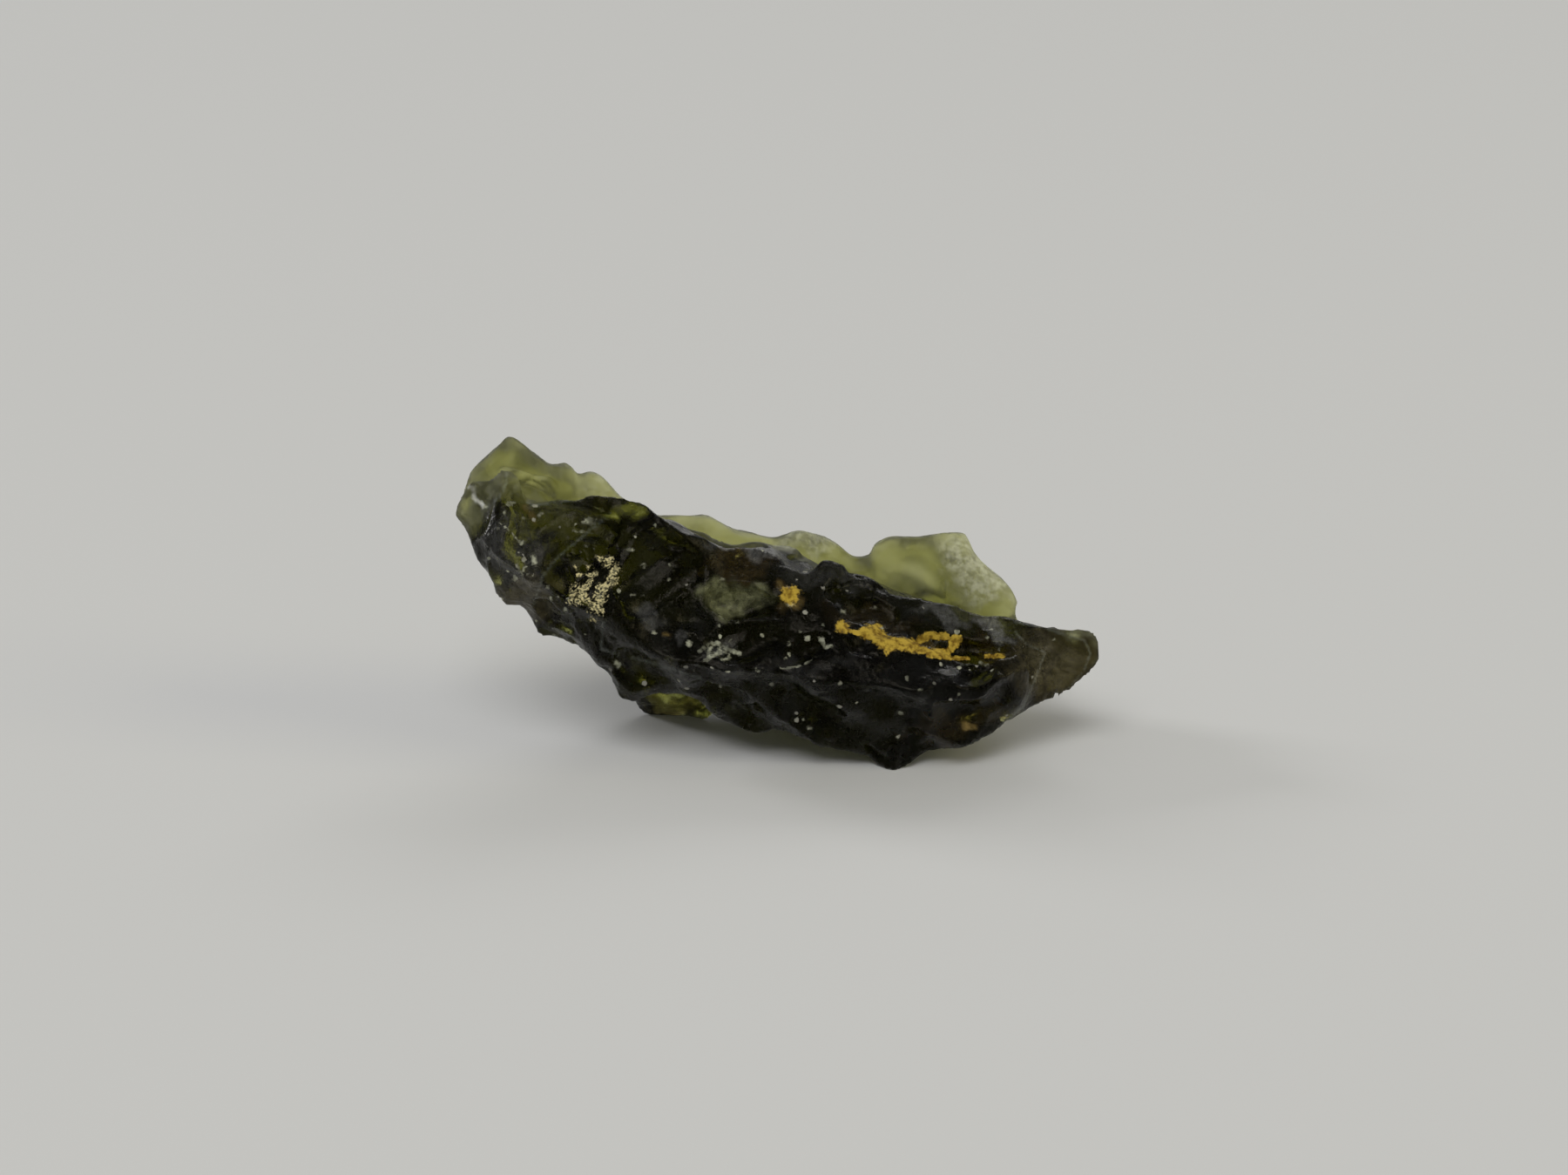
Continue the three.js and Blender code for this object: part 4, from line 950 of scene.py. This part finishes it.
def dirt_and_sheen_layers(n, place, grain, fine):
    """Covers of clay, crusts with two painted glints, flakes, and ridge lines with wear and
    painted sheen; ragged at the edges.
    """
    ragged = n.math("MULTIPLY_ADD", fine, RAGGED_FINE, grain)
    ragged = n.math("SUBTRACT", ragged, RAGGED_MEAN)
    found = {}
    for name, (raggedness, full) in MARK_EDGES.items():
        value = n.math("MULTIPLY_ADD", ragged, raggedness, n.attribute(name))
        found[name] = n.ramp(value, 0.0, full)
    gaps = n.ramp(n.noise(place, *CRUST_NOISE), *CRUST_GAPS)
    found["crust_and_glints"] = n.math("MULTIPLY", found["crust_and_glints"], gaps)
    found["flakes"] = n.math("MULTIPLY", found["flakes"], n.ramp(fine, *FLAKE_GAPS))
    found["ridges"] = n.math("MULTIPLY", found["ridges"], WORN_RIDGE_SHEEN_COVER)
    return found


def lay_on(n, coats, covered):
    """Lays coats (cover, colour) one on the other: the colour on top, and what stays clear."""
    shade = GLASS_TINT
    for cover, hue in coats:
        covered = n.math("ADD", covered, cover, clamp=True)
        share = n.math("DIVIDE", cover, n.math("ADD", covered, LEAST_COVER), clamp=True)
        shade = n.mix(share, shade, hue)
    return shade, n.math("SUBTRACT", 1.0, covered)


def glass_material():
    material = bpy.data.materials.new("moldavite_glass")
    n = Nodes(material)
    place = n.make("ShaderNodeTexCoord").outputs["Object"]
    place = n.make("ShaderNodeVectorMath", {0: place, 3: 1 / MM}, operation="SCALE").outputs[0]
    grain = n.noise(place, *GRAIN)
    fine = n.noise(place, *FINE_GRAIN)
    rim = n.attribute("rim")
    layers = dirt_and_sheen_layers(n, place, grain, fine)
    crumbs, random_share = crumb_layer(n, place, fine)

    # Films cover little of the glass, thicker and thinner with the grain.
    mottled = n.ramp(grain, *MOTTLING)
    coats = []
    for name, hue in FILM_COLOURS.items():
        coats.append((n.math("MULTIPLY", n.attribute(name), mottled), hue))
    pale = n.mix(n.ramp(grain, *LIGHT_CRUST), CRUST_DARK, CRUST_LIGHT)
    # Then the marks: ridge lines with wear and painted sheen, crumbs, crusts with two painted
    # glints, flakes and clay.
    coats += [
        (layers["ridges"], WORN_RIDGE_SHEEN_COLOUR),
        (crumbs, n.mix(random_share, SPOT_COLOUR, pale)),
        (layers["crust_and_glints"], pale),
        (layers["flakes"], n.mix(n.ramp(fine, *LIGHT_FLAKE), CRUST_DARK, FLAKE_COLOUR)),
        (layers["clay"], n.mix(n.ramp(grain, *LIGHT_CLAY), CLAY_DARK, CLAY_LIGHT)),
    ]
    shade, clear = lay_on(n, coats, n.ramp(n.noise(place, *BROAD), *HAZE))

    # Crumbs, clay, crusts with their two painted glints, and flakes: rougher and raised.
    dirt_and_glints = crumbs
    for name in ("clay", "crust_and_glints", "flakes"):
        dirt_and_glints = n.math("MAXIMUM", dirt_and_glints, layers[name])
    rough = n.ramp(n.noise(place, *GLOSS_NOISE), *GLOSS)
    rough = n.math("MULTIPLY_ADD", rim, RIM_ROUGH, rough)
    rough = n.math("MULTIPLY_ADD", dirt_and_glints, DIRT_AND_GLINT_ROUGH, rough, clamp=True)

    height = n.noise(place, *WAVY)
    height = n.math("MULTIPLY_ADD", n.noise(place, *PITTED), PIT_HEIGHT, height)
    height = n.math("MULTIPLY", height, n.math("MULTIPLY_ADD", rim, RIM_RELIEF, 1.0))
    height = n.math("MULTIPLY_ADD", dirt_and_glints, DIRT_AND_GLINT_RELIEF, height)
    relief = {"Height": height, "Strength": BUMP_STRENGTH, "Distance": BUMP_HEIGHT * MM}
    bump = n.make("ShaderNodeBump", relief)

    glass = n.make(
        "ShaderNodeBsdfPrincipled",
        {
            "Base Color": shade,
            "Roughness": rough,
            "IOR": GLASS_IOR,
            "Transmission Weight": clear,
            "Normal": bump.outputs[0],
            "Specular Tint": GLOSS_TINT,
        },
    )
    inputs = {"Color": ABSORPTION_COLOUR, "Density": ABSORPTION_DENSITY}
    inside = n.make("ShaderNodeVolumeAbsorption", inputs)
    inputs = {"Surface": glass.outputs[0], "Volume": inside.outputs[0]}
    n.make("ShaderNodeOutputMaterial", inputs)
    return material


# ------------------------------------ the stone
SCATTER_FADE = 1.6  # how fast a scattered place reaches its full share from its edge
SCATTER_SHARE = 0.55  # of the crumb cells, in the middle of a scattered place
SPOT_SHARE = 0.10  # elsewhere on the front
REAR_SHARE = 0.04  # and on the other sides, where nothing was seen
RIM_GLOW_ELSEWHERE = 0.08  # cover of the painted pale glow on the rims elsewhere
MURK_GAIN = 6.0  # the painted rim glow gives way to murk, and is gone where murk covers 1 part in this many


def surface_layers(vertices, normals):
    """The values on each vertex that the material reads, by name."""
    u, v = in_view(vertices)
    front = facing_front(vertices, normals)
    rim = on_rim(vertices + ORIGIN)
    scatter = np.clip(oval_strength(u, v, SCATTER) * SCATTER_FADE, 0, 1) * SCATTER_SHARE
    scatter = np.maximum(scatter, SPOT_SHARE) * front + REAR_SHARE * (1 - front)
    layers = {"rim": rim, "scatter": scatter * (1 - rim), "murk": film_cover(u, v, MURK)}
    # Painted light: a pale glow over the smooth rim, stronger in the ovals, kept off the dark
    # films.
    layers["rim_glow"] = np.maximum(RIM_GLOW_ELSEWHERE, film_cover(u, v, RIM_GLOW)) * rim
    layers["rim_glow"] *= np.clip(1 - MURK_GAIN * layers["murk"], 0, 1)
    marks = {
        "clay": (CLAY, CLAY_LINES),
        "crust_and_glints": (CRUST_AND_GLINTS, CRUST_LINES),
        "flakes": (FLAKES, []),
        "ridges": ([], WORN_RIDGE_SHEEN),
    }
    for name, (ovals, lines) in marks.items():
        strength = np.maximum(oval_strength(u, v, ovals), line_strength(u, v, lines))
        layers[name] = strength * front - (1 - front)
    # Grey dust with its painted highlight, brown stain and the painted green light, on the front
    # only.
    for name, films in (("dust_and_highlight", DUST_AND_HIGHLIGHT), ("stain", STAIN), ("green", GREEN_GLOW)):
        layers[name] = film_cover(u, v, films) * front
    return layers


def build_stone():
    vertices, quads = shape_stone()
    vertices = vertices - ORIGIN
    mesh = bpy.data.meshes.new("moldavite_stone")
    mesh.from_pydata((vertices * MM).tolist(), [], quads.tolist())
    mesh.polygons.foreach_set("use_smooth", [True] * len(quads))
    for name, values in surface_layers(vertices, vertex_normals(vertices, quads)).items():
        layer = mesh.attributes.new(name, "FLOAT", "POINT")
        layer.data.foreach_set("value", values.astype(np.float32))
    stone = bpy.data.objects.new("moldavite_stone", mesh)
    bpy.context.scene.collection.objects.link(stone)
    mesh.materials.append(glass_material())
    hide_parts(NODE)
    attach(stone, "root")


# ------------------------------------ floor, lights and camera
FLOOR_HALF = 3.0  # m
FLOOR_GAP = 0.00002  # m, below the worn spots
FLOOR_COLOUR = colour(0.78, 0.78, 0.765)
FLOOR_ROUGH = 0.9
FLOOR_GLOSS = 0.1
WHITE = colour(1.0, 1.0, 1.0)
ROOM_LIGHT = 0.20  # an even white light from all around
# Lamps: direction in degrees (right of the front, up), distance and (width, height) in m, how
# bright the face is, and its tint. The light from the right is warm, as in the photograph.
LAMPS = {
    "key": ((-12, 54), 2.0, (1.2, 1.1), 3.65, (1.0, 1.0, 1.0)),
    "left": ((-115, 24), 2.0, (0.4, 0.4), 16.0, (0.98, 0.98, 1.0)),
    "right": ((75, 28), 2.0, (0.8, 0.8), 2.6, (1.0, 0.93, 0.60)),
    "back": ((160, 40), 2.0, (1.2, 0.8), 1.8, (1.0, 1.0, 1.0)),
}
CLIP = (0.005, 10.0)  # m, nearest and furthest that the camera sees


def build_floor():
    mesh = bpy.data.meshes.new("floor")
    half = FLOOR_HALF
    corners = [(-half, -half, 0), (half, -half, 0), (half, half, 0), (-half, half, 0)]
    mesh.from_pydata(corners, [], [(0, 1, 2, 3)])
    floor = bpy.data.objects.new("floor", mesh)
    floor.location.z = -FLOOR_GAP
    bpy.context.scene.collection.objects.link(floor)
    material = bpy.data.materials.new("paper")
    n = Nodes(material)
    inputs = {"Base Color": FLOOR_COLOUR, "Roughness": FLOOR_ROUGH}
    inputs["Specular IOR Level"] = FLOOR_GLOSS
    paper = n.make("ShaderNodeBsdfPrincipled", inputs)
    n.make("ShaderNodeOutputMaterial", {"Surface": paper.outputs[0]})
    mesh.materials.append(material)


def add_lamp(name, direction, distance, size, radiance, tint):
    """A rectangular lamp that faces the stone."""
    around, up = (math.radians(angle) for angle in direction)
    level = math.cos(up)
    way = Vector((math.sin(around) * level, -math.cos(around) * level, math.sin(up)))
    light = bpy.data.lights.new(name, "AREA")
    light.shape = "RECTANGLE"
    light.size, light.size_y = size
    light.energy = math.pi * radiance * size[0] * size[1]
    light.color = tint
    lamp = bpy.data.objects.new(name, light)
    lamp.location = way * distance
    lamp.rotation_euler = (-way).to_track_quat("-Z", "Y").to_euler()
    bpy.context.scene.collection.objects.link(lamp)


def build_lights():
    world = bpy.data.worlds.new("dim_room")
    bpy.context.scene.world = world
    n = Nodes(world)
    room = n.make("ShaderNodeBackground", {"Color": WHITE, "Strength": ROOM_LIGHT})
    n.make("ShaderNodeOutputWorld", {"Surface": room.outputs[0]})
    for name, settings in LAMPS.items():
        add_lamp(name, *settings)


def build_camera():
    data = bpy.data.cameras.new("camera")
    data.sensor_width = SENSOR
    data.lens = SENSOR * DISTANCE / VIEW_WIDTH
    data.clip_start, data.clip_end = CLIP
    camera = bpy.data.objects.new("camera", data)
    camera.location = Vector((LOOK_AT - DISTANCE * AHEAD) * MM)
    camera.rotation_euler = Vector(AHEAD).to_track_quat("-Z", "Y").to_euler()
    bpy.context.scene.collection.objects.link(camera)
    bpy.context.scene.camera = camera


build_stone()
build_floor()
build_lights()
build_camera()
bpy.context.scene.view_settings.view_transform = "Standard"
